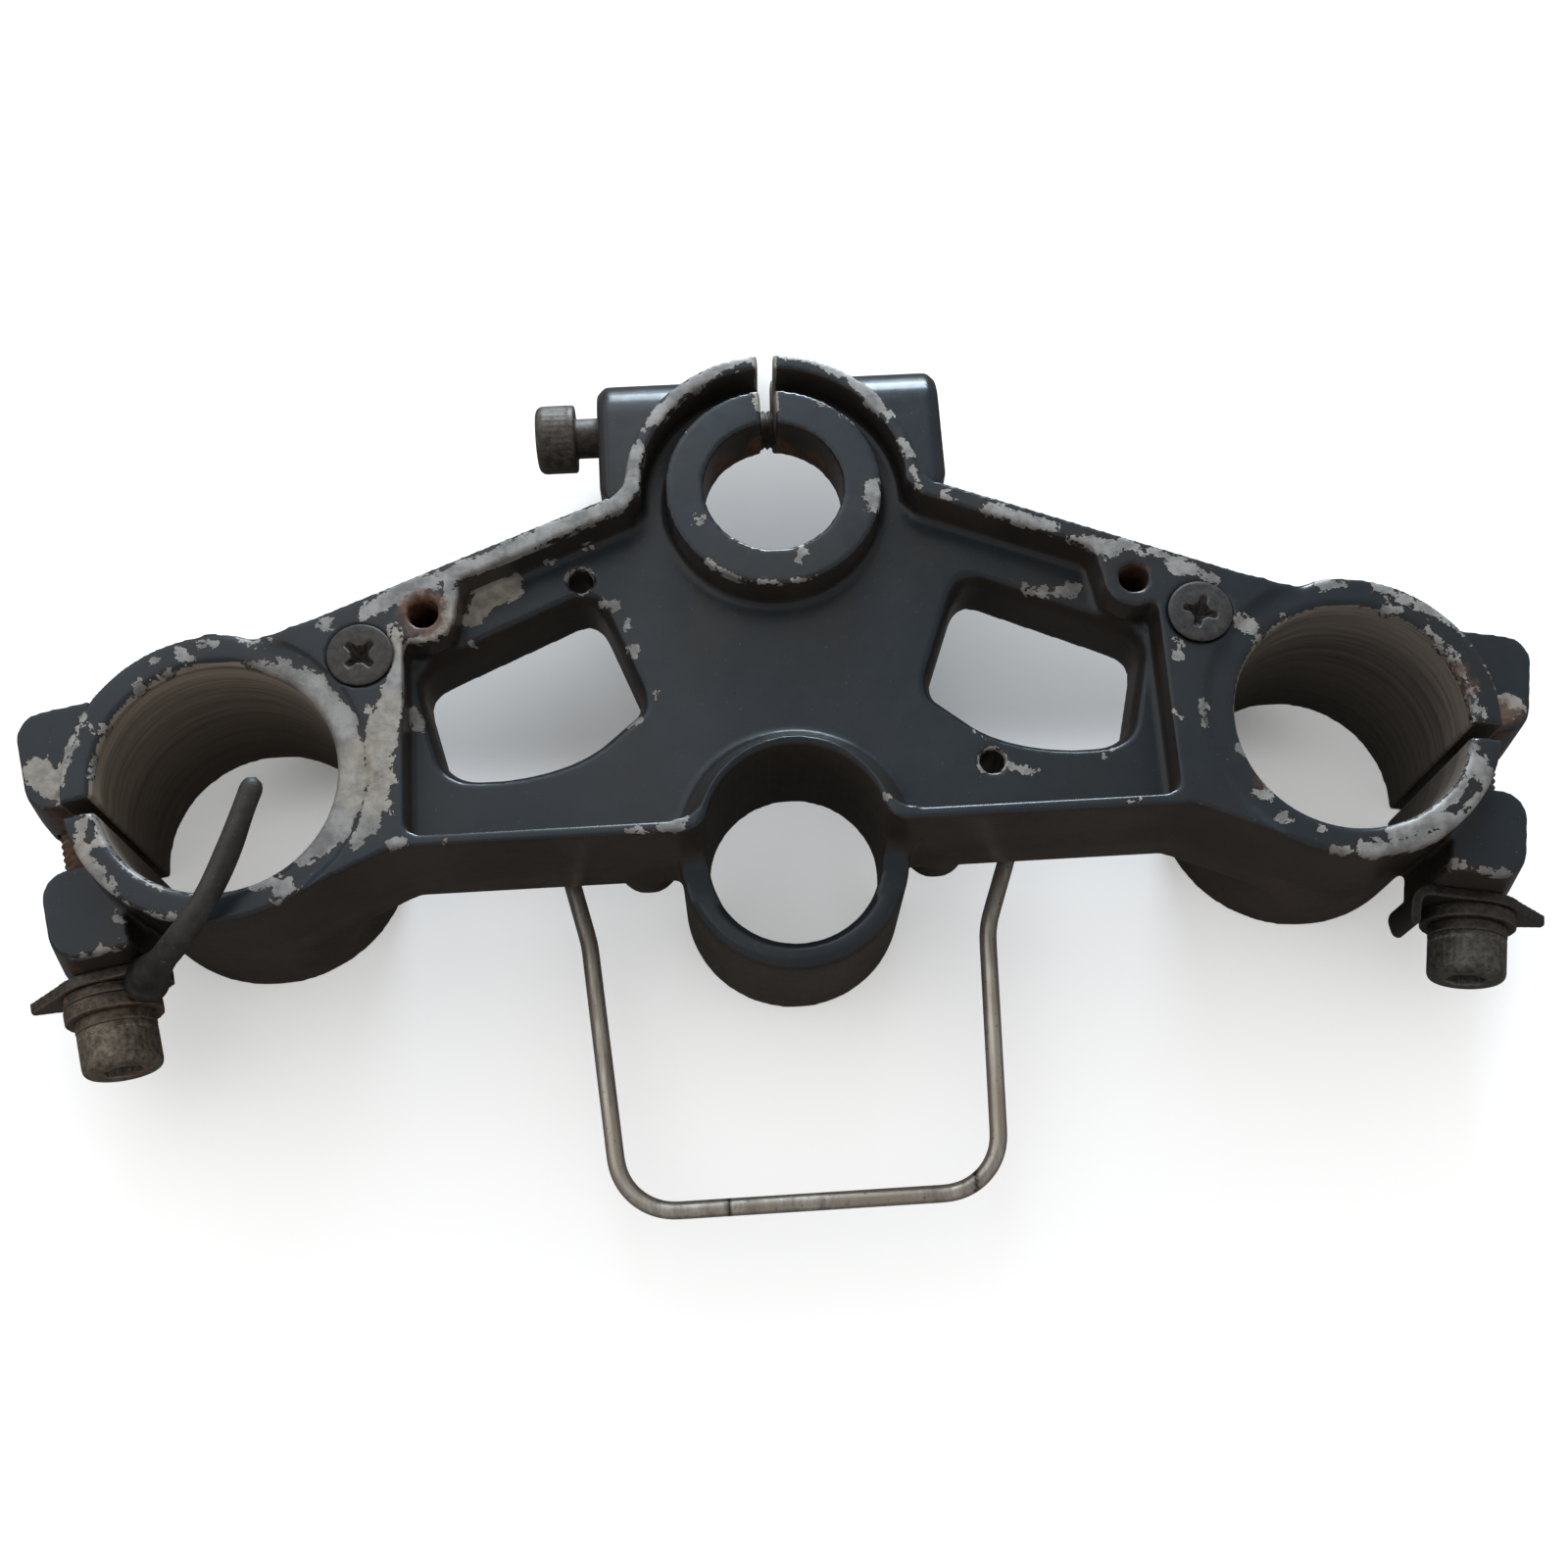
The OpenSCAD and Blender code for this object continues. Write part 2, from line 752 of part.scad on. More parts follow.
// Centre line of the finger from its eye up and over the bore, and its radii
finger_foot = [-8.2, -plate_t - 0.6, 6.8];
finger_line = concat(
  [finger_foot],
  blend([-10, -3.4, 11], [-13.5, -5.2, 19.5], [-18.2, -4.4, 25.4], 5),
  blend([-20.2, -3.6, 27.4], [-24.5, -0.6, 29], [-28, 4.6, 29.3], 4),
  blend([-30.6, 8.4, 29.9], [-33, 12.5, 30.4], [-34.9, 15.4, 30.8], 3),
  [[-35.6, 16.5, 30.9]],
  [[-35.9, 17, 30.95]]
);
finger_radii = [
  for (i = [0:len(finger_line) - 1])
    i > len(finger_line) - 2 ? 0.9 : i > len(finger_line) - 3 ? 1.6 : max(1.9, 3 - 0.13 * i)
];

// Rubber covered cable finger on its own eye under the washer
module guide_finger() {
  color("#2b2a29")
    left_bolt_place() {
      translate([0, -plate_t, 0])
        ring(7.9, eye_t);
      difference() {
        tube(finger_line, finger_radii, [0, 1, 0]);
        translate([-30, -plate_t, 0])
          cube([30, 30, 11.4]);
      }
      translate([-9.6, -plate_t - eye_t, 3])
        cube([6, eye_t, 5]);
    }
}

// Countersunk screw with a cross recess, standing a little above the face
module top_screw(proud) {
  from_forks()
    translate([screw_x, screw_y, proud])
      difference() {
        union() {
          translate([0, 0, -0.6])
            cylinder(d = top_head_d, h = 0.6);
          translate([0, 0, -0.6 - top_sink])
            cylinder(d1 = top_screw_d, d2 = top_head_d, h = top_sink);
          translate([0, 0, -14])
            cylinder(d = top_screw_d, h = 13.4 - top_sink / 2);
        }
        for (a = [45, 135])
          rotate([0, 0, a])
            translate([-recess_r, -0.6, -recess_z])
              cube([2 * recess_r, 1.2, recess_z + 1]);
        translate([0, 0, -recess_z - 0.4])
          cylinder(r1 = 0.4, r2 = 0.6 * recess_r, h = recess_z + 0.6, $fn = 24);
      }
}

module right_top_screw() {
  color("#4a443d")
    top_screw(0.55);
}

module left_top_screw() {
  color("#4a443d")
    mirror([1, 0, 0])
      top_screw(0.35);
}

// Right half of the loop's centre line: out of the casting, under its front and forward
function loop_half(x, knee_x, knee_y) =
  let (
    z = -loop_z, up = [loop_end_x, loop_end_y, -web_h + 7], root = [loop_end_x, loop_end_y, z],
    knee = [knee_x, knee_y, z], front = [x, -loop_front, z]
  )
  concat(
    [up],
    corner(up, root, knee, 3, 4),
    corner(root, knee, front, 16, 3),
    corner(knee, front, [0, -loop_front, z], loop_bend_r)
  );

function turned(pts) = [for (i = [len(pts) - 1:-1:0]) [-pts[i][0], pts[i][1], pts[i][2]]];

// Wire loop with both ends set in the underside of the casting
module cable_loop() {
  line = concat(
    loop_half(loop_x - 0.4, loop_x + 1.5, -front_y - 10),
    turned(loop_half(loop_x + 0.4, loop_x + 4.2, -front_y - 9))
  );
  color("#8d8a82")
    from_forks()
      tube(line, [for (p = line) wire_d / 2], [1, 0, 0]);
}

bridge_casting();
left_pinch_bolt();
right_pinch_bolt();
left_flat_washer();
right_flat_washer();
left_lock_washer();
right_lock_washer();
left_guide_plate();
right_guide_plate();
guide_finger();
stem_pinch_bolt();
left_top_screw();
right_top_screw();
cable_loop();
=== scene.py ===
import math

import bmesh
import bpy
import numpy as np
from mathutils import Matrix


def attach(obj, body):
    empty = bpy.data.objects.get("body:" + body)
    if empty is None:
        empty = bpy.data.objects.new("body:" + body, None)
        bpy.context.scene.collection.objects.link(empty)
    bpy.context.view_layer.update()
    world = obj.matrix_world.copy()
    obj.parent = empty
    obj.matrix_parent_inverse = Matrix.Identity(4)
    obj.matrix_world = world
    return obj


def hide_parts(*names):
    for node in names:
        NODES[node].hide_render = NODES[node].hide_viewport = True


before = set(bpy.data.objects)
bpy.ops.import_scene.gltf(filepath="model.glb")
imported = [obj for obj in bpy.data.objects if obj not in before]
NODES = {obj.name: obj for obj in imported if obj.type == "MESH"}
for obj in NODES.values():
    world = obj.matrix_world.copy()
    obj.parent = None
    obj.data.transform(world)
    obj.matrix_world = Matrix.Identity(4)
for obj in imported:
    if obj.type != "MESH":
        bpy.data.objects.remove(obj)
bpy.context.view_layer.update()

MM = 0.001

# Sizes of the part that the pieces below share with the solids, in millimetres
FORK_X, FORK_Y = 92.7, -46.5
SLIT_ANGLE = math.radians(11)
FORK_R = 19.5
LUG_END = 21.8
BOLT_OUT, BOLT_Z = 28.5, 25.7
PLATE_T, WASHER_T, LOCK_T, EYE_T = 1.9, 2.4, 2.0, 2.0
STACK = PLATE_T + WASHER_T + LOCK_T
GRIP = 2 * LUG_END - 3
BOSS_X, BOSS_Y = 59.0, -20.4
HOLES = [(-33.5, -12.1), (33.5, -48.7)]
SCREW_X, SCREW_Y = 69.3, -27.3
STEM_LUG_END, STEM_BOLT_Y, STEM_BOLT_Z = -34.3, 22.4, -20
WIRE_R, WIRE_Z = 1.5, -31.5
FLOOR_Z = -43.5

# Grids that round the pieces' edges, and the distance at which loose corners are one, in metres
CAST_GRID, SHEET_GRID, ONE_POINT = 0.0005, 0.00022, 2e-6

# A depth that stands for far outside every worn or rusty place, in millimetres
OUTSIDE = -9.0

# The place that every lamp faces, in metres
MIDDLE = (0.0, -0.04, 0.0)


def shown(name, data):
    """A new object in the scene, at the origin."""
    piece = bpy.data.objects.new(name, data)
    bpy.context.scene.collection.objects.link(piece)
    return piece


def points_of(mesh):
    """The mesh's points as rows of x, y and z."""
    co = np.empty(len(mesh.vertices) * 3)
    mesh.vertices.foreach_get("co", co)
    return co.reshape(-1, 3)


def edges_of(mesh):
    """The numbers of the first and of the second point of each edge."""
    ends = np.empty(len(mesh.edges) * 2, np.int32)
    mesh.edges.foreach_get("vertices", ends)
    return ends.reshape(-1, 2).T


def store(mesh, key, values):
    """A value for each point, which the materials read by its name."""
    mesh.attributes.new(key, "FLOAT", "POINT").data.foreach_set("value", values.astype(np.float32))


def skin(name, shells, material):
    """One closed mesh from several grids of points. In each grid row i is a ring round the piece; the
    first and last rings are closed by a fan to their mean point. A shell whose signed volume comes
    out negative has its faces turned round."""
    verts, faces, base = [], [], 0
    for grid in shells:
        rows, cols, _ = grid.shape
        pts = np.vstack([grid.reshape(-1, 3), grid[0].mean(0), grid[-1].mean(0)])
        i, j = np.meshgrid(np.arange(rows - 1), np.arange(cols), indexing="ij")
        k = (j + 1) % cols
        here, there = i * cols, (i + 1) * cols
        quads = np.stack([here + j, here + k, there + k, there + j], -1).reshape(-1, 4)
        j = np.arange(cols)
        k = (j + 1) % cols
        end = (rows - 1) * cols
        first = np.stack([k, j, np.full(cols, rows * cols)], -1)
        last = np.stack([end + j, end + k, np.full(cols, rows * cols + 1)], -1)
        tris = np.vstack([quads[:, [0, 1, 2]], quads[:, [0, 2, 3]], first, last])
        volume = np.einsum("ij,ij->i", pts[tris[:, 0]], np.cross(pts[tris[:, 1]], pts[tris[:, 2]])).sum()
        turn = slice(None) if volume > 0 else slice(None, None, -1)
        verts.append(pts)
        for part in (quads, first, last):
            faces += (part[:, turn] + base).tolist()
        base += len(pts)
    mesh = bpy.data.meshes.new(name)
    mesh.from_pydata((np.vstack(verts) * MM).tolist(), [], faces)
    mesh.validate()
    mesh.polygons.foreach_set("use_smooth", np.ones(len(mesh.polygons), bool))
    mesh.materials.append(material)
    piece = shown(name, mesh)
    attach(piece, "root")
    return piece


def sharpen(piece, degrees):
    """Edges whose faces meet at more than an angle are shaded sharp, the rest round."""
    piece.data.set_sharp_from_angle(angle=math.radians(degrees))


def revolve(stations, cols):
    """Rings of a turned piece: each station is a pair of radius and depth, and the radius may be a
    function of the angle round the axis and of the depth."""
    angle = np.linspace(0, 2 * math.pi, cols, endpoint=False)
    rings = []
    for radius, depth in stations:
        r = radius(angle, depth) if callable(radius) else np.full(cols, float(radius))
        rings.append(np.stack([r * np.cos(angle), r * np.sin(angle), np.full(cols, float(depth))], -1))
    return np.array(rings)


def placed(grid, origin, axis, up=(0, 0, 1)):
    """A grid whose third coordinate runs along an axis, set at an origin."""
    a = np.array(axis, float)
    a /= np.linalg.norm(a)
    e1 = np.cross(np.array(up, float), a)
    e1 /= np.linalg.norm(e1)
    e2 = np.cross(a, e1)
    return np.array(origin, float) + grid[..., :1] * e1 + grid[..., 1:2] * e2 + grid[..., 2:] * a


def smooth_path(points, count, passes=3):
    """Even samples along a path, each then moved towards the mean of its two neighbours."""
    points = np.array(points, float)
    run = np.concatenate([[0], np.cumsum(np.linalg.norm(np.diff(points, axis=0), axis=1))])
    at = np.linspace(0, run[-1], count)
    path = np.stack([np.interp(at, run, points[:, c]) for c in range(points.shape[1])], -1)
    for _ in range(passes):
        path[1:-1] = 0.25 * path[:-2] + 0.5 * path[1:-1] + 0.25 * path[2:]
    return path


def sweep(path, radius, cols, side=(0, 1, 0)):
    """Rings square to a path. The side direction is carried along without twist: at each point the
    last one is made square to the heading again."""
    heading = np.gradient(path, axis=0)
    heading /= np.linalg.norm(heading, axis=1)[:, None]
    m = np.array(side, float)
    sides = []
    for t in heading:
        m = m - (m @ t) * t
        m = m / np.linalg.norm(m)
        sides.append(m)
    sides = np.array(sides)
    other = np.cross(heading, sides)
    angle = np.linspace(0, 2 * math.pi, cols, endpoint=False)
    r = np.asarray(radius, float)[:, None, None]
    round_it = np.cos(angle)[None, :, None] * sides[:, None] + np.sin(angle)[None, :, None] * other[:, None]
    return path[:, None] + r * round_it


def blend(p0, p1, p2, n):
    """Points of a curve that leaves p0 towards p1 and arrives at p2: the three points weighted by
    the squares and the doubled product of the share of the way and what is left of it."""
    t = np.linspace(0, 1, n + 1)[:, None]
    p0, p1, p2 = (np.array(p, float) for p in (p0, p1, p2))
    return (1 - t) ** 2 * p0 + 2 * t * (1 - t) * p1 + t ** 2 * p2


def at_fork(points, side):
    """Points of the fork clamp frame, X out along the slit, in the part's frame. Side 1 is right,
    side -1 is its mirror image on the left."""
    points = np.asarray(points, float)
    c, s = math.cos(SLIT_ANGLE), -math.sin(SLIT_ANGLE)
    x = FORK_X + c * points[..., 0] - s * points[..., 1]
    y = FORK_Y + s * points[..., 0] + c * points[..., 1]
    return np.stack([side * x, y, points[..., 2]], -1)


def at_bolt(points, side):
    """Points from the place where a pinch bolt enters its lug, Y along the bolt."""
    return at_fork(np.asarray(points, float) + np.array([BOLT_OUT, -LUG_END, -BOLT_Z]), side)


class Graph:
    """A material's nodes. Each call adds one node, links what is given, and returns its output."""

    def __init__(self, name):
        self.material = bpy.data.materials.new(name)
        self.material.use_nodes = True
        self.tree = self.material.node_tree
        self.tree.nodes.clear()
        self.coords = self.add("ShaderNodeTexCoord").outputs["Object"]

    def add(self, kind, links=None, **values):
        node = self.tree.nodes.new(kind)
        for key, value in values.items():
            setattr(node, key, value)
        for key, value in (links or {}).items():
            socket = node.inputs[key]
            if isinstance(value, bpy.types.NodeSocket):
                self.tree.links.new(value, socket)
            else:
                socket.default_value = value
        return node

    def noise(self, scale, detail=3, rough=0.55, distortion=0, coords=None):
        """Smooth random values between 0 and 1, with finer layers added."""
        links = {"Vector": coords or self.coords, "Scale": scale, "Detail": detail}
        links.update({"Roughness": rough, "Distortion": distortion})
        return self.add("ShaderNodeTexNoise", links).outputs["Fac"]

    def cells(self, scale):
        """A random value for each small cell, whose borders are bent a little by noise."""
        push = self.add("ShaderNodeTexNoise", {"Vector": self.coords, "Scale": 2.5 * scale, "Detail": 2.0})
        links = {0: push.outputs["Color"], 1: (0.8 / scale,) * 3, 2: self.coords}
        bent = self.add("ShaderNodeVectorMath", links, operation="MULTIPLY_ADD").outputs["Vector"]
        colour = self.add("ShaderNodeTexVoronoi", {"Vector": bent, "Scale": scale}).outputs["Color"]
        return self.part(colour, "X")

    def part(self, vector, axis):
        """One coordinate of a vector."""
        return self.add("ShaderNodeSeparateXYZ", {0: vector}).outputs[axis]

    def facing_up(self):
        """How far the surface faces up, from -1 to 1."""
        return self.part(self.add("ShaderNodeNewGeometry").outputs["Normal"], "Z")

    def stretched(self, scale):
        """Object coordinates drawn out along an axis by a factor for each."""
        return self.add("ShaderNodeMapping", {"Vector": self.coords, "Scale": scale}).outputs["Vector"]

    def math(self, op, a, b=0.0, c=0.0):
        return self.add("ShaderNodeMath", {0: a, 1: b, 2: c}, operation=op).outputs[0]

    def span(self, value, low, high, to_low=0.0, to_high=1.0):
        """A value between low and high, eased to the range between to_low and to_high."""
        links = {"Value": value, "From Min": low, "From Max": high, "To Min": to_low, "To Max": to_high}
        return self.add("ShaderNodeMapRange", links, interpolation_type="SMOOTHSTEP").outputs["Result"]

    def mix(self, amount, a, b):
        """Colour a where the amount is 0 and colour b where it is 1."""
        node = self.add("ShaderNodeMix", data_type="RGBA")
        for socket, value in ((node.inputs[0], amount), (node.inputs[6], a), (node.inputs[7], b)):
            if isinstance(value, bpy.types.NodeSocket):
                self.tree.links.new(value, socket)
            else:
                socket.default_value = (*value, 1.0) if isinstance(value, tuple) else value
        return node.outputs[2]

    def value(self, name):
        """A value stored on the mesh's points."""
        return self.add("ShaderNodeAttribute", attribute_name=name).outputs["Fac"]

    def bump(self, height, distance, strength, normal=None):
        """A surface that stands out by a height times a distance in metres."""
        links = {"Height": height, "Distance": distance, "Strength": strength}
        if normal is not None:
            links["Normal"] = normal
        return self.add("ShaderNodeBump", links).outputs["Normal"]

    def soft_edge(self, radius):
        """A direction that turns round the edges within a radius in metres."""
        return self.add("ShaderNodeBevel", {"Radius": radius}, samples=4).outputs["Normal"]

    def finish(self, **sockets):
        """The shader and the material's output."""
        links = {key.replace("_", " "): value for key, value in sockets.items()}
        links = {k: ((*v, 1.0) if isinstance(v, tuple) and len(v) == 3 else v) for k, v in links.items()}
        shader = self.add("ShaderNodeBsdfPrincipled", links)
        out = self.add("ShaderNodeOutputMaterial")
        self.tree.links.new(shader.outputs[0], out.inputs[0])
        return self.material


def worn_paint():
    """Semi-gloss black over cast aluminium. Bare metal shows where the stored distance into a worn
    place, with ragged noise and the random heights of small cells added, is above zero, and in chips
    along the outer edges. Light is also painted into the black: a bluish sky sheen on faces that look
    up, a warm reflection on the sides, shade in creases and down the fork bores, a lit left bore and a
    shaded right bore, and a highlight on the outer edges."""
    g = Graph("worn_paint")
    facing = g.facing_up()
    height = g.part(g.coords, "Z")
    coarse = g.noise(45, 3, 0.6)
    fine = g.noise(520, 4, 0.65)
    grit = g.noise(1500, 3, 0.7)
    ragged = g.math("MULTIPLY_ADD", g.cells(520), 1.3, -0.65)
    for random, amount in ((g.cells(1500), 0.5), (g.noise(260, 3, 0.6), 2.2), (g.noise(1300, 3, 0.6), 0.5)):
        ragged = g.math("ADD", ragged, g.math("MULTIPLY_ADD", random, amount, -amount / 2))
    level = g.math("ADD", g.value("bare"), ragged)
    edge = g.value("edge")
    speckle = g.math("MULTIPLY_ADD", g.cells(900), 0.16, g.noise(190, 5, 0.75))
    chips = g.math("MULTIPLY", g.span(edge, 0.25, 0.6), g.span(speckle, 0.735, 0.745))
    bare = g.math("MAXIMUM", g.span(level, -0.04, 0.04), chips)
    rim = g.math("MULTIPLY", g.span(level, -0.6, -0.1), g.math("SUBTRACT", 1.0, bare))
    spread = g.math("MULTIPLY_ADD", g.noise(330, 4, 0.7), 5.0, -2.5)
    rust = g.span(g.math("ADD", g.value("rust"), spread), -0.8, 0.8)

    # Painted light: faces that look up are tinted blue as a painted sky sheen, and the sides warm brown as a
    # painted reflection of warm surroundings.
    top = g.mix(g.span(coarse, 0.35, 0.7), (0.0104, 0.0158, 0.0208), (0.0148, 0.0206, 0.0258))
    brownish = g.math("MULTIPLY", g.span(g.noise(24, 3, 0.6), 0.45, 0.68), 0.7)
    top = g.mix(brownish, top, (0.0165, 0.016, 0.0158))
    side = g.mix(g.span(coarse, 0.3, 0.7), (0.017, 0.0138, 0.0113), (0.028, 0.0222, 0.018))
    paint = g.mix(g.span(facing, 0.3, 0.9), side, top)
    # Lighter brown on the lower sides and undersides, below about 20 mm down, in noisy patches.
    low = g.math("MULTIPLY", g.span(height, -0.0185, -0.0205), g.span(facing, 0.6, 0.2))
    dust = g.math("MULTIPLY", low, g.span(g.noise(90, 4, 0.6), 0.3, 0.75))
    paint = g.mix(dust, paint, (0.036, 0.0275, 0.0215))
    # Painted shade with grime: hollows and creases, where the surface lies below its neighbours, turn darker
    # brown in noisy patches.
    crease_shade_and_grime = g.math("MULTIPLY", g.span(edge, -0.1, -0.4), g.span(g.noise(120, 4, 0.6), 0.25, 0.6))
    paint = g.mix(crease_shade_and_grime, paint, (0.0165, 0.0128, 0.0105))
    bore = g.value("bore")
    turned = g.noise(1.0, 4, 0.75, 0, g.stretched((16.0, 16.0, 800.0)))
    # Machined rings, and a painted shade that darkens the bore towards its bottom.
    shade = g.math("MULTIPLY", g.span(turned, 0.3, 0.7), g.span(height, -0.03, -0.004, 0.35, 1.0))
    # Painted light: the left fork bore takes a lighter, lit copy of the brown-black and the right one a darker,
    # shaded copy.
    shaded_right_bore = g.mix(shade, (0.075, 0.067, 0.059), (0.2, 0.174, 0.146))
    lit_left_bore = g.mix(shade, (0.1, 0.084, 0.069), (0.27, 0.228, 0.182))
    paint = g.mix(g.span(bore, 0.0, 0.4), paint, g.mix(g.span(bore, 0.5, 1.0), shaded_right_bore, lit_left_bore))
    # Painted highlight: outer edges that stand out from their neighbours turn a lighter bluish grey.
    paint = g.mix(g.math("MULTIPLY", g.span(edge, 0.12, 0.6), 0.22), paint, (0.05, 0.055, 0.06))
    specks = g.math("MULTIPLY", g.span(g.noise(2300, 2, 0.5), 0.72, 0.76), g.span(facing, 0.5, 0.9))
    paint = g.mix(specks, paint, (0.07, 0.068, 0.063))
    paint = g.mix(rim, paint, (0.02, 0.0145, 0.011))

    metal = g.mix(g.span(g.noise(230, 4, 0.65), 0.35, 0.65), (0.128, 0.126, 0.121), (0.25, 0.245, 0.235))
    metal = g.mix(g.math("MULTIPLY", g.span(grit, 0.6, 0.75), 0.45), metal, (0.085, 0.076, 0.068))
    stained = g.mix(g.span(fine, 0.3, 0.7), (0.185, 0.167, 0.141), (0.285, 0.264, 0.232))
    metal = g.mix(g.span(g.value("tan"), 0.0, 1.0), metal, stained)
    colour = g.mix(bare, paint, metal)
    rust_colour = g.mix(g.span(fine, 0.35, 0.65), (0.035, 0.016, 0.009), (0.11, 0.046, 0.022))
    colour = g.mix(g.math("MULTIPLY", rust, 0.85), colour, rust_colour)
    rough = g.math("ADD", g.span(bare, 0, 1, 0.3, 0.55), g.math("MULTIPLY_ADD", fine, 0.14, -0.07))
    rough = g.math("SUBTRACT", rough, g.math("MULTIPLY", g.span(edge, 0.05, 0.3), 0.07))
    rough = g.math("ADD", rough, g.math("MULTIPLY", g.math("MAXIMUM", rust, bore), 0.18))
    cast = g.math("MULTIPLY", fine, g.span(bare, 0, 1, 0.1, 0.9))
    relief = g.math("ADD", g.math("MULTIPLY", bare, -1.0), cast)
    relief = g.math("ADD", relief, g.math("MULTIPLY", g.math("MULTIPLY", turned, bore), 0.5))
    normal = g.bump(relief, 0.00011, 0.9)
    normal = g.bump(g.noise(70, 3), 0.0006, 0.3, normal)
    return g.finish(
        Base_Color=colour, Roughness=rough, Metallic=g.math("MULTIPLY", bare, 0.35), Normal=normal,
        Specular_IOR_Level=g.span(bare, 0, 1, 0.38, 0.5))


def worn_steel(name, dark, light, rust_amount, rough, metal, edge, rust=(0.15, 0.062, 0.03), rusty_end=None):
    """Steel with a worn black finish: mottled between a dark and a light tone, with rust where a
    broad noise is above a level, and brighter where the edges turn. Behind a given depth of the part
    the rust is nearly whole."""
    g = Graph(name)
    broad = g.noise(150, 4, 0.65)
    fine = g.noise(900, 4, 0.7)
    if rusty_end is not None:
        back = g.part(g.coords, "Y")
        broad = g.math("ADD", broad, g.span(back, rusty_end, rusty_end + 0.006, 0, 0.3))
    body = g.mix(g.span(fine, 0.3, 0.72), dark, light)
    turned = g.soft_edge(0.0005)
    flat = g.add("ShaderNodeNewGeometry").outputs["True Normal"]
    bend = g.add("ShaderNodeVectorMath", {0: turned, 1: flat}, operation="DOT_PRODUCT").outputs["Value"]
    bright = tuple(min(1.0, 3.2 * v + 0.06) for v in light)
    body = g.mix(g.math("MULTIPLY", g.span(bend, 0.985, 0.86), edge), body, bright)
    patches = g.math("ADD", broad, g.math("MULTIPLY", fine, 0.3))
    red = g.math("MULTIPLY", g.span(patches, 0.9 - rust_amount, 1.0 - rust_amount), 0.9)
    colour = g.mix(red, body, g.mix(g.span(fine, 0.35, 0.7), tuple(0.4 * v for v in rust), rust))
    rough_out = g.math("ADD", g.math("MULTIPLY", red, 0.3), g.math("MULTIPLY_ADD", fine, 0.25, rough - 0.12))
    normal = g.bump(g.math("ADD", fine, g.math("MULTIPLY", red, 0.6)), 0.00006, 0.8, turned)
    return g.finish(Base_Color=colour, Roughness=rough_out,
        Metallic=g.math("MULTIPLY_ADD", red, -metal * 0.8, metal), Normal=normal)


def old_rubber():
    """Dark rubber with pale dust in a fine grain and a worn patch here and there."""
    g = Graph("old_rubber")
    dust = g.noise(260, 4, 0.7)
    colour = g.mix(g.span(dust, 0.35, 0.75), (0.0135, 0.0115, 0.0102), (0.033, 0.028, 0.0235))
    colour = g.mix(g.span(g.noise(1100, 3, 0.6), 0.66, 0.74), colour, (0.085, 0.07, 0.058))
    normal = g.bump(g.noise(1200, 3, 0.6), 0.00009, 0.7)
    return g.finish(Base_Color=colour, Roughness=g.span(dust, 0.3, 0.7, 0.46, 0.66), Normal=normal)


def dull_wire():
    """Plated wire gone dull: long streaks along it, small dark brown spots, and a painted shade in dark brown
    on the faces that look down, grey on top.
    """
    g = Graph("dull_wire")
    streak = g.noise(420, 4, 0.7, 0.2, g.stretched((1.0, 0.12, 1.0)))
    broad = g.noise(60, 3, 0.6)
    fine = g.noise(1400, 3, 0.7)
    colour = g.mix(g.span(streak, 0.3, 0.7), (0.27, 0.24, 0.205), (0.56, 0.52, 0.465))
    colour = g.mix(g.span(broad, 0.45, 0.7), colour, (0.42, 0.37, 0.31))
    colour = g.mix(g.span(fine, 0.62, 0.72), colour, (0.075, 0.052, 0.038))
    seam = g.value("seam")
    colour = g.mix(seam, colour, (0.03, 0.024, 0.02))
    # Painted shade: the faces that look down are darkened to brown.
    facing = g.facing_up()
    colour = g.mix(g.span(facing, 0.35, -0.3), colour, (0.075, 0.058, 0.045))
    normal = g.bump(g.math("SUBTRACT", g.math("MULTIPLY", streak, 0.6), seam), 0.00008, 0.8)
    return g.finish(Base_Color=colour, Roughness=g.span(streak, 0.3, 0.7, 0.42, 0.3), Metallic=0.82,
        Normal=normal)


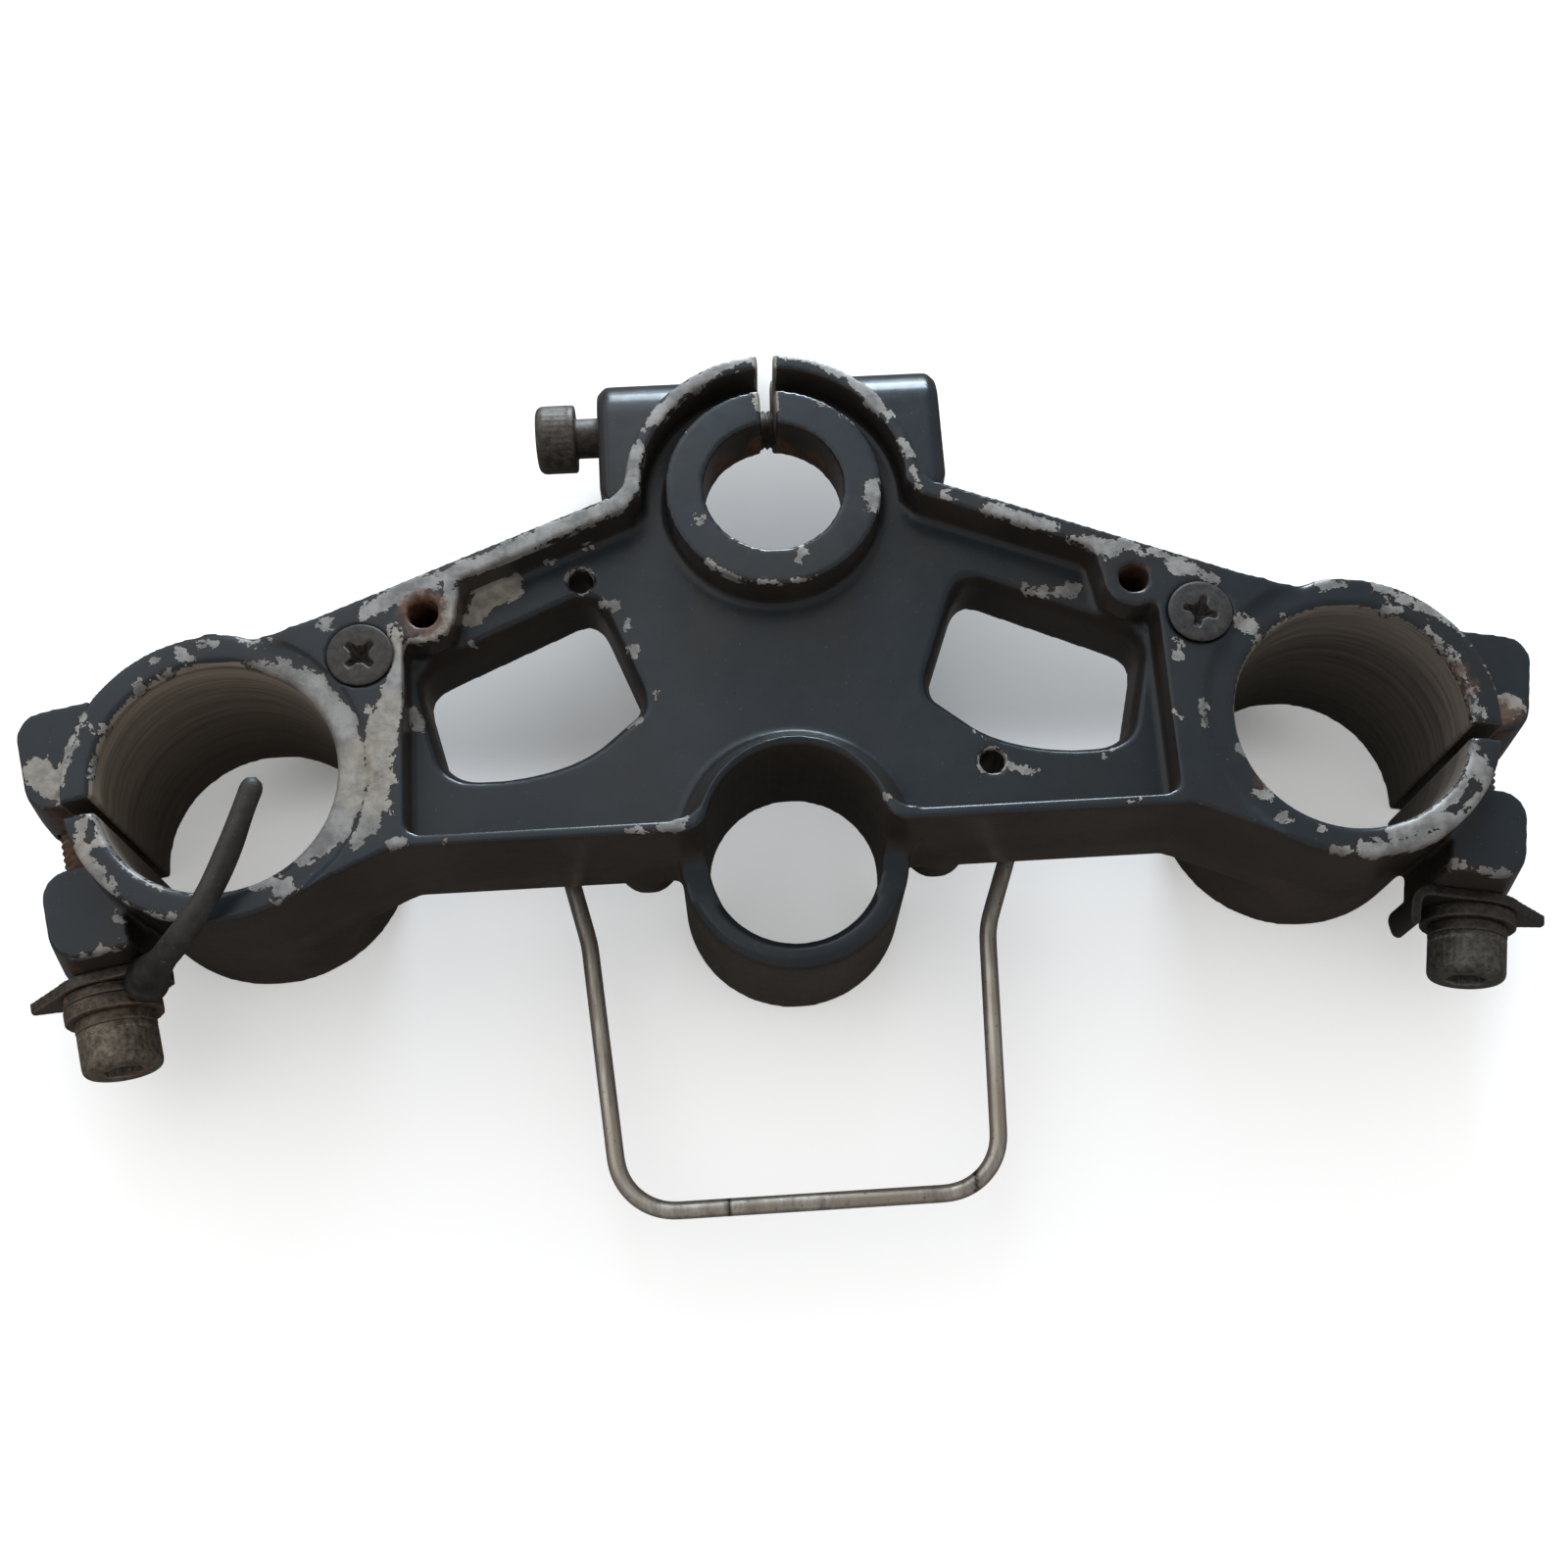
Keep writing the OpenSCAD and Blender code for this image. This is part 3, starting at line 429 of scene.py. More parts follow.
# Places where the paint has worn through, as strokes of round brushes: x, y and radius in
# millimetres, on the face at the given height
WORN = {
    -0.8: [
        [(-88, -28, 0.6), (-83, -28.5, 1.4), (-78.5, -31.5, 2.9), (-75, -37, 3.6), (-72, -44, 3.7),
        (-71.5, -51, 3.4), (-73, -56.5, 2.6), (-76, -60, 2.1), (-78.5, -61, 1.2)],
        [(-105, -31, 1.3), (-103.5, -30.5, 0.8)], [(-101, -28.5, 0.7), (-100.5, -28, 0.6)],
        [(-98.5, -24.5, 0.7), (-97, -26, 0.6)],
        [(-103, -26, 0.7), (-102, -25.5, 0.6)], [(-95.5, -24, 0.7), (-93, -23.5, 0.7)],
        [(-88.5, -23.5, 0.5), (-86, -23.5, 0.4)], [(-83, -23.5, 0.7), (-82, -23.5, 0.5)],
        [(-111.5, -53, 0.7), (-110.5, -55.5, 1.3), (-108, -58.5, 0.7), (-104.5, -62.5, 0.6),
        (-100.5, -64.5, 0.5), (-96, -65.5, 0.4)],
        [(-112.6, -52.4, 0.9), (-113.4, -56, 1.0), (-113, -59, 1.2), (-111.5, -61, 1.6), (-109, -64.5, 1.3),
        (-108, -65.5, 0.5)], [(-106, -67.5, 0.4), (-103.5, -69, 0.4), (-99, -70, 0.4)],
        [(-85.5, -65, 1.3), (-84, -64, 1.2)], [(-82.5, -67, 1.3), (-80.5, -65.5, 1.3)],
        [(-113, -36.5, 0.4), (-111.5, -38, 0.4), (-109.5, -37.5, 0.6)],
        [(-111.5, -42, 0.5), (-112, -44.5, 0.6)],
        [(-113.7, -35.4, 0.8), (-115.6, -39, 0.9), (-116.9, -43.8, 1.0), (-117, -46.4, 0.9)],
        [(90, -23, 0.6), (94.5, -23, 0.6)], [(96, -28, 0.5), (96.5, -28, 0.4)],
        [(89.5, -28, 0.4), (91.5, -28, 0.4)], [(101.5, -28.5, 1.2), (103, -28.5, 0.6)],
        [(103, -25.6, 1.0), (107.8, -28.4, 1.0), (112.6, -31.6, 0.95), (115.6, -34.8, 0.9), (117, -39.1, 0.9),
        (118.3, -43.1, 1.0)],
        [(107.5, -32.5, 0.5), (111, -37.5, 0.7), (112.5, -42, 0.7), (113.5, -46, 0.6), (113.5, -48, 0.8)],
        [(111, -53, 0.7), (112, -57.5, 1.7), (113.5, -61, 1.7), (111.5, -63.5, 1.7), (107.5, -67, 1.8),
        (102.5, -69.5, 1.8), (97, -70, 1.7), (91.5, -70, 1.3)],
        [(96.5, -67.5, 1.7), (100.5, -66, 1.7), (105, -65.5, 1.2)],
        [(111.5, -55, 0.5), (109, -59.5, 0.5), (105, -63.5, 0.5), (100.5, -65, 0.5), (95, -66, 0.4)],
        [(73.5, -51.5, 0.6), (74, -52.5, 0.6)], [(76, -57, 0.7), (77, -58, 0.6)],
        [(74, -59, 0.4), (76.5, -60, 0.4)], [(78, -64, 0.4), (79.5, -63.5, 0.4)],
        [(84, -66, 0.4), (84.5, -66, 0.4)], [(86, -69.5, 0.4), (87.5, -70, 0.4)],
        [(78.5, -33, 0.6), (79.5, -32.5, 0.6)], [(81.5, -30.5, 0.4), (83.5, -29, 0.4)],
        [(99, -23.5, 0.8), (102, -24.5, 0.8)],
    ],
    0.0: [
        [(-63.5, -25.5, 1.5), (-63, -31.5, 1.8), (-64.5, -35, 2.1), (-66, -40, 2.6), (-66.5, -45, 2.6),
        (-66.5, -51.5, 2.3), (-68.5, -57, 1.6), (-70, -60, 0.7)],
        [(-75, -21.5, 0.7), (-74, -21.5, 0.6)], [(-68.5, -19.5, 1.2), (-65.5, -18.5, 1.7), (-64, -17, 1.5)],
        [(-64, -16.5, 1.4), (-55, -14, 1.3), (-54, -13.5, 1.4), (-48.5, -11.5, 1.7), (-43.5, -9.5, 1.7),
        (-37, -6, 1.9), (-30.5, -4, 1.9), (-26.5, -2, 1.9), (-24, 1, 2), (-23.5, 5.5, 1.7), (-23, 8.5, 1.2)],
        [(-55, -14, 1.2), (-54.5, -18, 1.4), (-55.5, -23, 1.2), (-59.5, -24.5, 0.6)],
        [(-62, -26.5, 1.2), (-60, -25, 0.7), (-57, -25, 0.6)], [(-63.5, -22.5, 0.7), (-63.5, -25.5, 1.4)],
        [(-64.5, -60.5, 0.7), (-63, -60, 0.6)], [(-56, -60, 0.4), (-54.5, -60, 0.4)],
        [(-17, -58, 0.7), (-19.5, -59.5, 1.2), (-23.5, -60, 0.7), (-27, -60, 0.6)],
        [(-21.5, 11.5, 0.8), (-18.5, 15, 1.6), (-15.5, 18, 1.4), (-11.5, 21, 1.4), (-7, 23.5, 1.4),
        (-1.5, 25, 1.2)],
        [(3.5, 25, 0.8), (8.5, 24, 0.6), (13.5, 21, 1.2), (17, 17, 1.4), (20.5, 12.5, 1.2)],
        [(22.5, 7, 0.8), (23.5, 4.5, 0.8)], [(24, 2, 0.7), (24.5, -1, 0.7)],
        [(29, -3.5, 1.2), (29.5, -4, 0.8)], [(36, -6, 1.2), (39.5, -7.5, 1.4), (42.5, -9, 1.2),
        (46.5, -10, 1.3)], [(49.5, -12.5, 0.8), (53.5, -14, 1.2), (55.5, -15.5, 1.6)],
        [(56, -13.5, 0.6), (61, -15, 0.8), (65, -17, 0.6)], [(66.5, -18.5, 1.6), (69, -19, 1.4)],
        [(71, -21.5, 0.6), (72, -21.5, 0.4)],
        [(-12, -13.5, 0.2), (-6.5, -17.3, 0.2), (0, -18.3, 0.2), (4, -18.3, 0.25), (10.5, -16.8, 0.2)],
        [(-13, -6, 0.8), (-12.5, -5.5, 0.8)], [(4, -12, 0.8), (3.5, -14, 0.8)],
        [(-13.5, 10.5, 0.4), (-13.5, 11, 0.4)], [(-2.5, 18, 0.4), (-0.5, 15.5, 1.2), (0, 14.5, 0.8)],
        [(17, -1.5, 1.6), (16.5, -4.5, 1.4)],
        [(8.5, 16, 0.4), (11.5, 14.5, 0.6), (14.5, 11, 0.6)], [(18, -10, 0.4), (16.5, -13.5, 0.4)],
        [(76.5, -29.5, 1.4), (77.5, -30, 1.3)], [(68, -44, 0.7), (68, -47, 0.7)],
        [(65, -32.5, 0.7), (65, -35, 0.7)], [(70.5, -20, 0.8), (72.5, -21.5, 0.6)],
        [(63, -45, 0.5), (64, -46, 0.5)], [(61, -55, 0.4), (61, -57.5, 0.4)],
        [(53.5, -60, 0.4), (55, -59.5, 0.4)], [(15, -56.5, 0.7), (23.5, -57, 0.6), (30, -57, 0.4)],
    ],
    -7.5: [
        [(-52, -18.5, 1.3), (-50.5, -15.5, 2), (-48, -13.5, 2.5), (-45, -12.5, 1.8)],
        [(-39.5, -9, 0.8), (-38, -8, 0.8)], [(-33, -6.5, 0.4), (-31.5, -6, 0.6)],
        [(-35.5, -16.5, 0.6), (-34.5, -16.5, 0.6)], [(-30, -16.5, 0.6), (-28, -17, 0.8)],
        [(-62, -35, 1.2), (-61, -37, 1.2)], [(-26, -20.5, 0.4), (-26, -21, 0.4)],
        [(-25.5, -25, 0.6), (-25, -26.5, 0.6)], [(-22, -33.5, 0.6), (-22, -34.5, 0.5)],
        [(-26.5, -39, 0.5), (-25, -38, 0.4)], [(-52, -23, 0.4), (-51.5, -23, 0.4)],
        [(42.5, -17.5, 1.2), (45, -18, 1.2)], [(47.5, -18, 1.2), (50, -18.5, 1.5)],
        [(32, -43, 0.8), (34, -44, 0.6)], [(36, -50, 0.6), (36.5, -50.5, 0.4)],
        [(38.5, -50.5, 0.4), (41, -50.5, 0.4)], [(53.5, -48, 0.4), (52.5, -48.5, 0.4)],
        [(59.5, -24.5, 0.4), (60, -24.5, 0.4)],
    ],
    -9.0: [
        [(-116.5, -32.5, 0.6), (-118, -36, 0.7), (-119.5, -41, 0.7)], [(-124, -40.5, 2), (-122, -43.5, 2)],
        [(-121.5, -44.5, 1.8), (-118.5, -45, 1.6), (-115.5, -44.5, 1.6)],
        [(-118.6, -75.2, 0.85), (-115, -73, 0.95), (-110, -72, 0.8)], [(-110, -67, 0.7), (-108.5, -67.5, 0.5)],
        [(107, -70.3, 0.8), (112, -71.9, 0.85), (117.2, -73.6, 0.95)],
        [(119.6, -44.2, 1.3), (121.7, -43, 1.9), (123.2, -43.9, 1.8)],
    ],
}

# Rusty places: x, y, z and radius in millimetres
RUSTY = [
    (-BOSS_X, BOSS_Y, -2, 4.6), (-BOSS_X, BOSS_Y, -8, 3.6), (BOSS_X, BOSS_Y, -3, 3.4),
    (BOSS_X, BOSS_Y, -8, 3.4), (121.2, -44.4, -9.4, 2.0), (120, -45.6, -11.5, 3.0), (123.4, -45.2, -9.6, 1.3),
    (-119, -52, -22, 7), (-120, -46, -12, 3), (-66.8, -49, -0.8, 0.9), (0, 10, -8, 5), (-9, 8, -8, 4),
    (9, 8, -8, 4), (118, -50, -18, 4), (97, -29, -1.5, 1.0),
    (112, -39, -1.5, 1.2), (113, -43, -1.5, 1.2), (76, -57, -1.2, 1.2), (-119, -76, -14, 3),
]

# Zones with large radii between the forms: x, y, z and radius in millimetres
MELTED = [(-16.5, -60.6, -9, 6.5), (17.5, -61, -9, 6.5), (-85.3, -22.2, 0, 4.5), (85.4, -22, 0, 4.5),
    (-69, -43, 0, 3.5)]

# Places where the bare metal is stained light brown: x, y, z and radius in millimetres
TAN = [(-66.5, -48, 0, 9), (-65, -38, 0, 6), (-120, -44, -9, 10), (-50, -14, -7.5, 7), (0, 20, -8, 12),
    (-58, -24, 0, 8), (121.5, -44, -9, 7), (-114, -57, 0, 6)]


def reach(points, stroke):
    """How deep each point lies in a stroke: over its straight runs, the radius blended along the run
    less the distance to the run's nearest place."""
    stroke = np.array(stroke, float)
    best = np.full(len(points), OUTSIDE)
    for a, b in zip(stroke[:-1], stroke[1:]):
        run = b[:-1] - a[:-1]
        t = np.clip((points - a[:-1]) @ run / max(run @ run, 1e-9), 0, 1)
        d = np.linalg.norm(points - a[:-1] - t[:, None] * run, axis=1)
        best = np.maximum(best, a[-1] + t * (b[-1] - a[-1]) - d)
    return best


def worn_depth(co):
    """The largest reach over all strokes, for points whose height is near the stroke's face, and
    over the facing sides of the stem slit and the rims of the two small holes."""
    best = np.full(len(co), OUTSIDE)
    for z, strokes in WORN.items():
        near = np.nonzero(np.abs(co[:, 2] - z) < 2.2)[0]
        for stroke in strokes:
            box = np.array(stroke)[:, :2]
            inside = np.all((co[near, :2] > box.min(0) - 5) & (co[near, :2] < box.max(0) + 5), axis=1)
            part = near[inside]
            if len(part):
                drop = 0.35 * np.abs(co[part, 2] - z)
                best[part] = np.maximum(best[part], reach(co[part, :2], stroke) - drop)
    slit = (np.abs(co[:, 0]) < 2.2) & (co[:, 1] > 14) & (co[:, 2] > -21)
    best[slit] = np.maximum(best[slit], 1.6 - 2.5 * np.clip(np.abs(co[slit, 0]) - 1.35, 0, 9))
    for x, y in HOLES:
        away = np.hypot(co[:, 0] - x, co[:, 1] - y)
        near = (np.abs(co[:, 2] + 7.5) < 1.2) & (away < 5)
        best[near] = np.maximum(best[near], 0.35 - 1.8 * np.abs(away[near] - 2.3))
    return best


def melt(mesh):
    """In a few round zones each point is moved further towards the mean of its neighbours, most at
    the zone's middle, where the casting's forms run into each other with large radii."""
    co = points_of(mesh)
    a, b = edges_of(mesh)
    share = np.zeros(len(co))
    for x, y, z, r in MELTED:
        away = np.linalg.norm(co / MM - (x, y, z), axis=1)
        share = np.maximum(share, np.clip(1.6 - 1.6 * away / r, 0, 1))
    live = share > 0
    keep = live[a] | live[b]
    a, b = a[keep], b[keep]
    count = len(co)
    number = np.maximum(np.bincount(a, minlength=count) + np.bincount(b, minlength=count), 1)
    for _ in range(36):
        total = [np.bincount(a, co[b, c], count) + np.bincount(b, co[a, c], count) for c in range(3)]
        mean = np.stack(total, -1) / number[:, None]
        co[live] += 0.6 * share[live, None] * (mean[live] - co[live])
    mesh.vertices.foreach_set("co", co.ravel())
    mesh.update()


def poured_surface():
    """The casting's skin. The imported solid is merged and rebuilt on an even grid, each point is moved
    towards the mean of its neighbours, which rounds the edges and fills the corners as in a real
    casting, and the plain areas are then thinned out. Each point keeps how deep it lies in a worn
    place, how far it stands out from its neighbours, and how rusty and how stained it is."""
    source = NODES["bridge_casting"]
    mesh = source.data.copy()
    merged = bmesh.new()
    merged.from_mesh(mesh)
    bmesh.ops.remove_doubles(merged, verts=merged.verts, dist=ONE_POINT)
    merged.to_mesh(mesh)
    merged.free()
    mesh.materials.clear()
    rough = shown("rough_casting", mesh)
    grid = rough.modifiers.new("grid", "REMESH")
    grid.mode, grid.voxel_size = "VOXEL", CAST_GRID
    ease = rough.modifiers.new("ease", "SMOOTH")
    ease.factor, ease.iterations = 0.5, 7
    even = bpy.data.meshes.new_from_object(rough.evaluated_get(bpy.context.evaluated_depsgraph_get()))
    bpy.data.objects.remove(rough)
    melt(even)

    co = points_of(even) / MM
    thin = shown("thin_casting", even)
    plain = thin.vertex_groups.new(name="plain")
    plain.add(np.nonzero(worn_depth(co) < -1.3)[0].tolist(), 1.0, "REPLACE")
    fewer = thin.modifiers.new("fewer", "DECIMATE")
    fewer.ratio, fewer.vertex_group = 0.25, "plain"
    final = bpy.data.meshes.new_from_object(thin.evaluated_get(bpy.context.evaluated_depsgraph_get()))
    bpy.data.objects.remove(thin)
    final.name = "painted_casting"

    co = points_of(final) / MM
    count = len(co)
    normal = np.empty(count * 3)
    final.vertices.foreach_get("normal", normal)
    normal = normal.reshape(-1, 3)
    a, b = edges_of(final)
    gap = np.linalg.norm(co[a] - co[b], axis=1) + 1e-6
    number = np.maximum(np.bincount(a, minlength=count) + np.bincount(b, minlength=count), 1)
    lean = np.bincount(a, ((co[a] - co[b]) * normal[a]).sum(1) / gap, count)
    lean = (lean + np.bincount(b, ((co[b] - co[a]) * normal[b]).sum(1) / gap, count)) / number
    for _ in range(2):
        share = np.bincount(a, lean[b], count) + np.bincount(b, lean[a], count)
        lean = 0.5 * lean + 0.5 * share / number
    rust = np.full(count, OUTSIDE)
    for x, y, z, r in RUSTY:
        rust = np.maximum(rust, r - np.linalg.norm(co - (x, y, z), axis=1))
    # The bore value marks the fork bores: 1 on the left, which gets the painted lit tone, and 0.5 on the right,
    # which gets the painted shaded tone.
    bore = np.zeros(count)
    for side in (-1, 1):
        away = np.hypot(co[:, 0] - side * FORK_X, co[:, 1] - FORK_Y)
        inside = (away < FORK_R + 0.5) & (co[:, 2] < -1.4)
        bore = np.maximum(bore, inside * (0.5 if side == 1 else 1.0))
    tan = np.zeros(count)
    for x, y, z, r in TAN:
        tan = np.maximum(tan, np.clip((r - np.linalg.norm(co - (x, y, z), axis=1)) / 3, 0, 1))
    store(final, "bare", worn_depth(co))
    store(final, "edge", lean * 2.5)
    store(final, "rust", rust)
    store(final, "bore", bore)
    store(final, "tan", tan)
    final.polygons.foreach_set("use_smooth", np.ones(len(final.polygons), bool))
    final.materials.clear()
    final.materials.append(worn_paint())
    piece = shown("painted_casting", final)
    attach(piece, "root")
    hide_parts("bridge_casting")


# Knurls round a cap screw's head, and points round each turned piece
KNURLS, ROUND = 36, 144


def hexagon(flats):
    """Radius of a hexagonal socket in each direction: half the flats over the cosine of the angle
    from the nearest flat."""
    def radius(angle, depth):
        return flats / 2 / np.cos((angle + math.pi / 6) % (math.pi / 3) - math.pi / 6)
    return radius


def capped(head_r, head_h, flats, shank_r, length, thread_from, pitch):
    """Stations of a socket cap screw: hexagonal socket, bevelled end, straight knurl as a folded sine
    round the side, plain foot, shank, and a thread whose radius is a triangle wave of depth and angle."""
    hexa = hexagon(flats)

    def knurl(depth_share):
        def radius(angle, depth):
            worn = 0.62 + 0.38 * np.sin(2 * angle + 1.0) * np.cos(angle - 0.6)
            return head_r - 0.15 * depth_share * (0.5 + 0.5 * np.cos(angle * KNURLS)) * worn
        return radius

    def thread(angle, depth):
        phase = (depth / pitch - angle / (2 * math.pi)) % 1.0
        ease = np.clip((depth - thread_from) / pitch, 0, 1) * np.clip((length - depth) / (1.2 * pitch), 0.15, 1)
        return shank_r - 0.62 * pitch * ease * (1 - np.abs(2 * phase - 1)) * 0.8

    def socket_foot(angle, depth):
        return 0.2 * hexa(angle, depth)

    def socket_mouth(angle, depth):
        return hexa(angle, depth) + 0.12

    stations = [(socket_foot, 4.4), (hexa, 4.0), (hexa, 0.5), (socket_mouth, 0.12), (flats / 2 + 0.75, 0.0)]
    for t in np.linspace(0.0, math.pi / 2, 7):
        stations.append((head_r - 1.5 + 1.45 * math.sin(t), 1.25 - 1.25 * math.cos(t)))
    top, foot = 1.3, head_h - 1.2
    stations += [(knurl(s), top + 0.35 * s) for s in (0.3, 1.0)]
    stations += [(knurl(1.0), d) for d in np.linspace(top + 0.6, foot - 0.4, 4)]
    stations += [(knurl(0.9), foot), (knurl(0.0), foot + 0.1), (head_r - 0.02, head_h - 0.3)]
    stations += [(head_r - 0.25, head_h), (shank_r + 0.3, head_h), (shank_r, head_h + 0.4)]
    stations += [(thread, head_h + d) for d in np.arange(thread_from - head_h, length - head_h, pitch / 7)]
    stations += [(shank_r - 0.62 * pitch - 0.2, length)]
    return revolve(stations, ROUND)


def socket_screw(name, node, origin, axis, material, **sizes):
    """A socket cap screw from the middle of its end face, in the direction that it screws in."""
    grid = placed(capped(**sizes), origin, axis)
    piece = skin(name, [grid], material)
    sharpen(piece, 50)
    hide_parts(node)


def cross_screw(name, node, side, proud, turn, material):
    """A countersunk screw. Its top is a height over radius and angle: flat with an eased rim, less two
    crossed slots that narrow and rise outward, with a round pit where they cross."""
    head_r = 5.4
    angle = np.linspace(0, 2 * math.pi, ROUND, endpoint=False)

    def top(r):
        x, y = r * np.cos(angle + turn), r * np.sin(angle + turn)
        cut = np.zeros(ROUND)
        for u, v in ((x, y), (y, x)):
            u, v = np.abs(u), np.abs(v)
            width = 0.92 - 0.1 * u
            slot = np.minimum(2.3 * np.clip(1 - (u / 3.0) ** 1.6, 0, 1), 2.6 * np.clip(width - v, 0, 1))
            cut = np.maximum(cut, slot)
        cut = np.maximum(cut, 2.6 * np.clip(1 - r / 1.55, 0, 1) ** 0.7)
        return proud - cut - 0.06 * np.clip(r / head_r, 0, 1) ** 4

    def ring(r, z):
        return np.stack([r * np.cos(angle), r * np.sin(angle), z], -1)

    rings = [ring(r, top(r)) for r in np.concatenate([np.linspace(0.06, 3.4, 42), np.linspace(3.6, 5.15, 6)])]
    sunk = [(5.32, -0.12), (5.4, -0.3), (5.36, -0.55), (3.1, -2.95), (3.0, -3.4), (3.0, -13.0), (2.2, -13.6)]
    rings += [ring(r, np.full(ROUND, proud + z)) for r, z in sunk]
    place = np.array([side * SCREW_X, SCREW_Y, 0])
    piece = skin(name, [np.array(rings) + place], material)
    sharpen(piece, 42)
    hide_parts(node)


def rubber_finger(material):
    """The rubber sleeve of the cable finger, a round profile carried along its bent path with the
    radius falling from the foot to the tip, and the eye that it stands on."""
    path = np.vstack([
        [[-7.6, -PLATE_T - 0.9, 6.2]],
        blend((-10, -3.4, 11), (-13.5, -5.2, 19.5), (-18.2, -4.4, 25.4), 5),
        blend((-20.2, -3.6, 27.4), (-24.5, -0.6, 29), (-28, 4.6, 29.3), 4),
        blend((-30.6, 8.4, 29.9), (-33, 12.5, 30.4), (-34.9, 15.4, 30.8), 3),
        [[-36.0, 17.1, 30.95]],
    ])
    path = smooth_path(path, 90, 4)
    clear = -PLATE_T - 2.2 + 0.17 * np.maximum(path[:, 2] - 3, 0)
    path[:, 1] = np.minimum(path[:, 1], np.where(path[:, 2] < 12, clear, 99))
    share = np.linspace(0, 1, 90)
    radius = 3.75 - 1.6 * np.clip(share / 0.32, 0, 1) ** 0.85 - 0.32 * np.clip((share - 0.3) / 0.6, 0, 1)
    radius += 0.07 * np.sin(share * 19)
    radius[:3] *= (0.95, 0.99, 1.0)
    cap = np.clip((1 - share) / 0.045, 0, 1)
    radius *= np.sqrt(1 - (1 - cap) ** 2) * 0.93 + 0.07
    sleeve = sweep(path, radius, 32)
    ring = revolve([(4.35, 0), (4.3, 0.25), (4.3, EYE_T - 0.25), (4.4, EYE_T), (7.6, EYE_T),
        (7.88, EYE_T - 0.3), (7.88, 0.3), (7.6, 0)], 72)
    ring = np.stack([ring[..., 0], -PLATE_T - ring[..., 2], ring[..., 1]], -1)
    bridge = np.array([[(-9.4, -PLATE_T, 2.6), (-5.6, -PLATE_T, 5.6), (-6.2, -PLATE_T, 8.2),
        (-10.2, -PLATE_T, 7.4)], [(-9.4, -PLATE_T - EYE_T, 2.6), (-5.6, -PLATE_T - EYE_T, 5.6),
        (-6.2, -PLATE_T - EYE_T, 8.2), (-10.2, -PLATE_T - EYE_T, 7.4)]])
    piece = skin("rubber_finger", [at_bolt(sleeve, -1), at_bolt(bridge, -1)], material)
    return piece, at_bolt(ring, -1)


def side_fold(material):
    """The folded side of the right guide plate: a sheet that leaves the plate's inner side and curls
    forward, its width falling towards the free edge."""
    path = np.vstack([[[-7.6, -0.95]], blend((-9.2, -0.95), (-11.2, -1.1), (-11.4, -3.2), 8),
        [[-11.2, -5.2], [-10.8, -6.6]]])
    path = smooth_path(path, 26, 1)
    heading = np.gradient(path, axis=0)
    heading /= np.linalg.norm(heading, axis=1)[:, None]
    across = np.stack([-heading[:, 1], heading[:, 0]], -1)
    share = np.linspace(0, 1, len(path))[:, None]
    half = 0.8 * np.sqrt(1 - np.clip((share - 0.9) / 0.1, 0, 1) ** 2 * 0.9)
    low, high = -6.2 + 3.4 * share ** 2, 8.4 - 2.2 * share ** 2
    corners = [(low, -1.0), (low, 1.0), (high, 1.0), (high, -1.0)]
    rings = np.stack([np.concatenate([path + across * half * k, z], -1) for z, k in corners], 1)
    piece = skin("right_plate_fold", [at_bolt(rings, 1)], material)
    sharpen(piece, 40)


def wire_loop(material):
    """The wire loop: a round profile carried along the path out of the casting, forward, across the
    front and back, with two fine seams stored as a value on the points."""
    z, loop_x, front = WIRE_Z, 31.9, -70.2

    def corner(a, b, c, r, n):
        """Rounded corner of a path at b, a circle of radius r that touches both of its runs."""
        a, b, c = (np.array(p, float) for p in (a, b, c))
        u, v = (a - b) / np.linalg.norm(a - b), (c - b) / np.linalg.norm(c - b)
        half = math.acos(float(u @ v)) / 2
        turn = math.pi - 2 * half
        mid = b + (u + v) / np.linalg.norm(u + v) * r / math.sin(half)
        w0, w1 = b + u * r / math.tan(half) - mid, b + v * r / math.tan(half) - mid
        t = np.linspace(0, 1, n + 1)[:, None] * turn
        return mid + (np.sin(turn - t) * w0 + np.sin(t) * w1) / math.sin(turn)

    def half_loop(x, knee_x, knee_y):
        up, root = (40, -6.5, -19.5), (40, -6.5, z)
        knee, end = (knee_x, knee_y, z), (x, front, z)
        bends = [corner(up, root, knee, 3, 8), corner(root, knee, end, 16, 8)]
        return np.vstack([[up], *bends, corner(knee, end, (0, front, z), 10, 14)])

    right = half_loop(loop_x - 0.4, loop_x + 1.5, -24.2)
    left = half_loop(loop_x + 0.4, loop_x + 4.2, -23.2)[::-1] * (-1, 1, 1)
    path = smooth_path(np.vstack([right, left]), 420, 6) + (0, FORK_Y, 0)
    wire = sweep(path, np.full(len(path), WIRE_R), 28, (1, 0, 0))
    piece = skin("wire_loop", [wire], material)
    co = points_of(piece.data) / MM
    seam = np.zeros(len(co))
    for x in (27.2, -14.5):
        seam = np.maximum(seam, (co[:, 1] < -105) * np.clip(1.4 - np.abs(co[:, 0] - x) / 0.35, 0, 1))
    store(piece.data, "seam", seam)
    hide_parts("cable_loop")


def soften(node, material, rounds):
    """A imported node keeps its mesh, and modifiers rebuild it on a fine even grid and ease its edges."""
    piece = NODES[node]
    weld = piece.modifiers.new("weld", "WELD")
    weld.merge_threshold = ONE_POINT
    grid = piece.modifiers.new("grid", "REMESH")
    grid.mode, grid.voxel_size, grid.use_smooth_shade = "VOXEL", SHEET_GRID, True
    ease = piece.modifiers.new("ease", "SMOOTH")
    ease.factor, ease.iterations = 0.5, rounds
    for slot in piece.material_slots:
        slot.material = material


poured_surface()

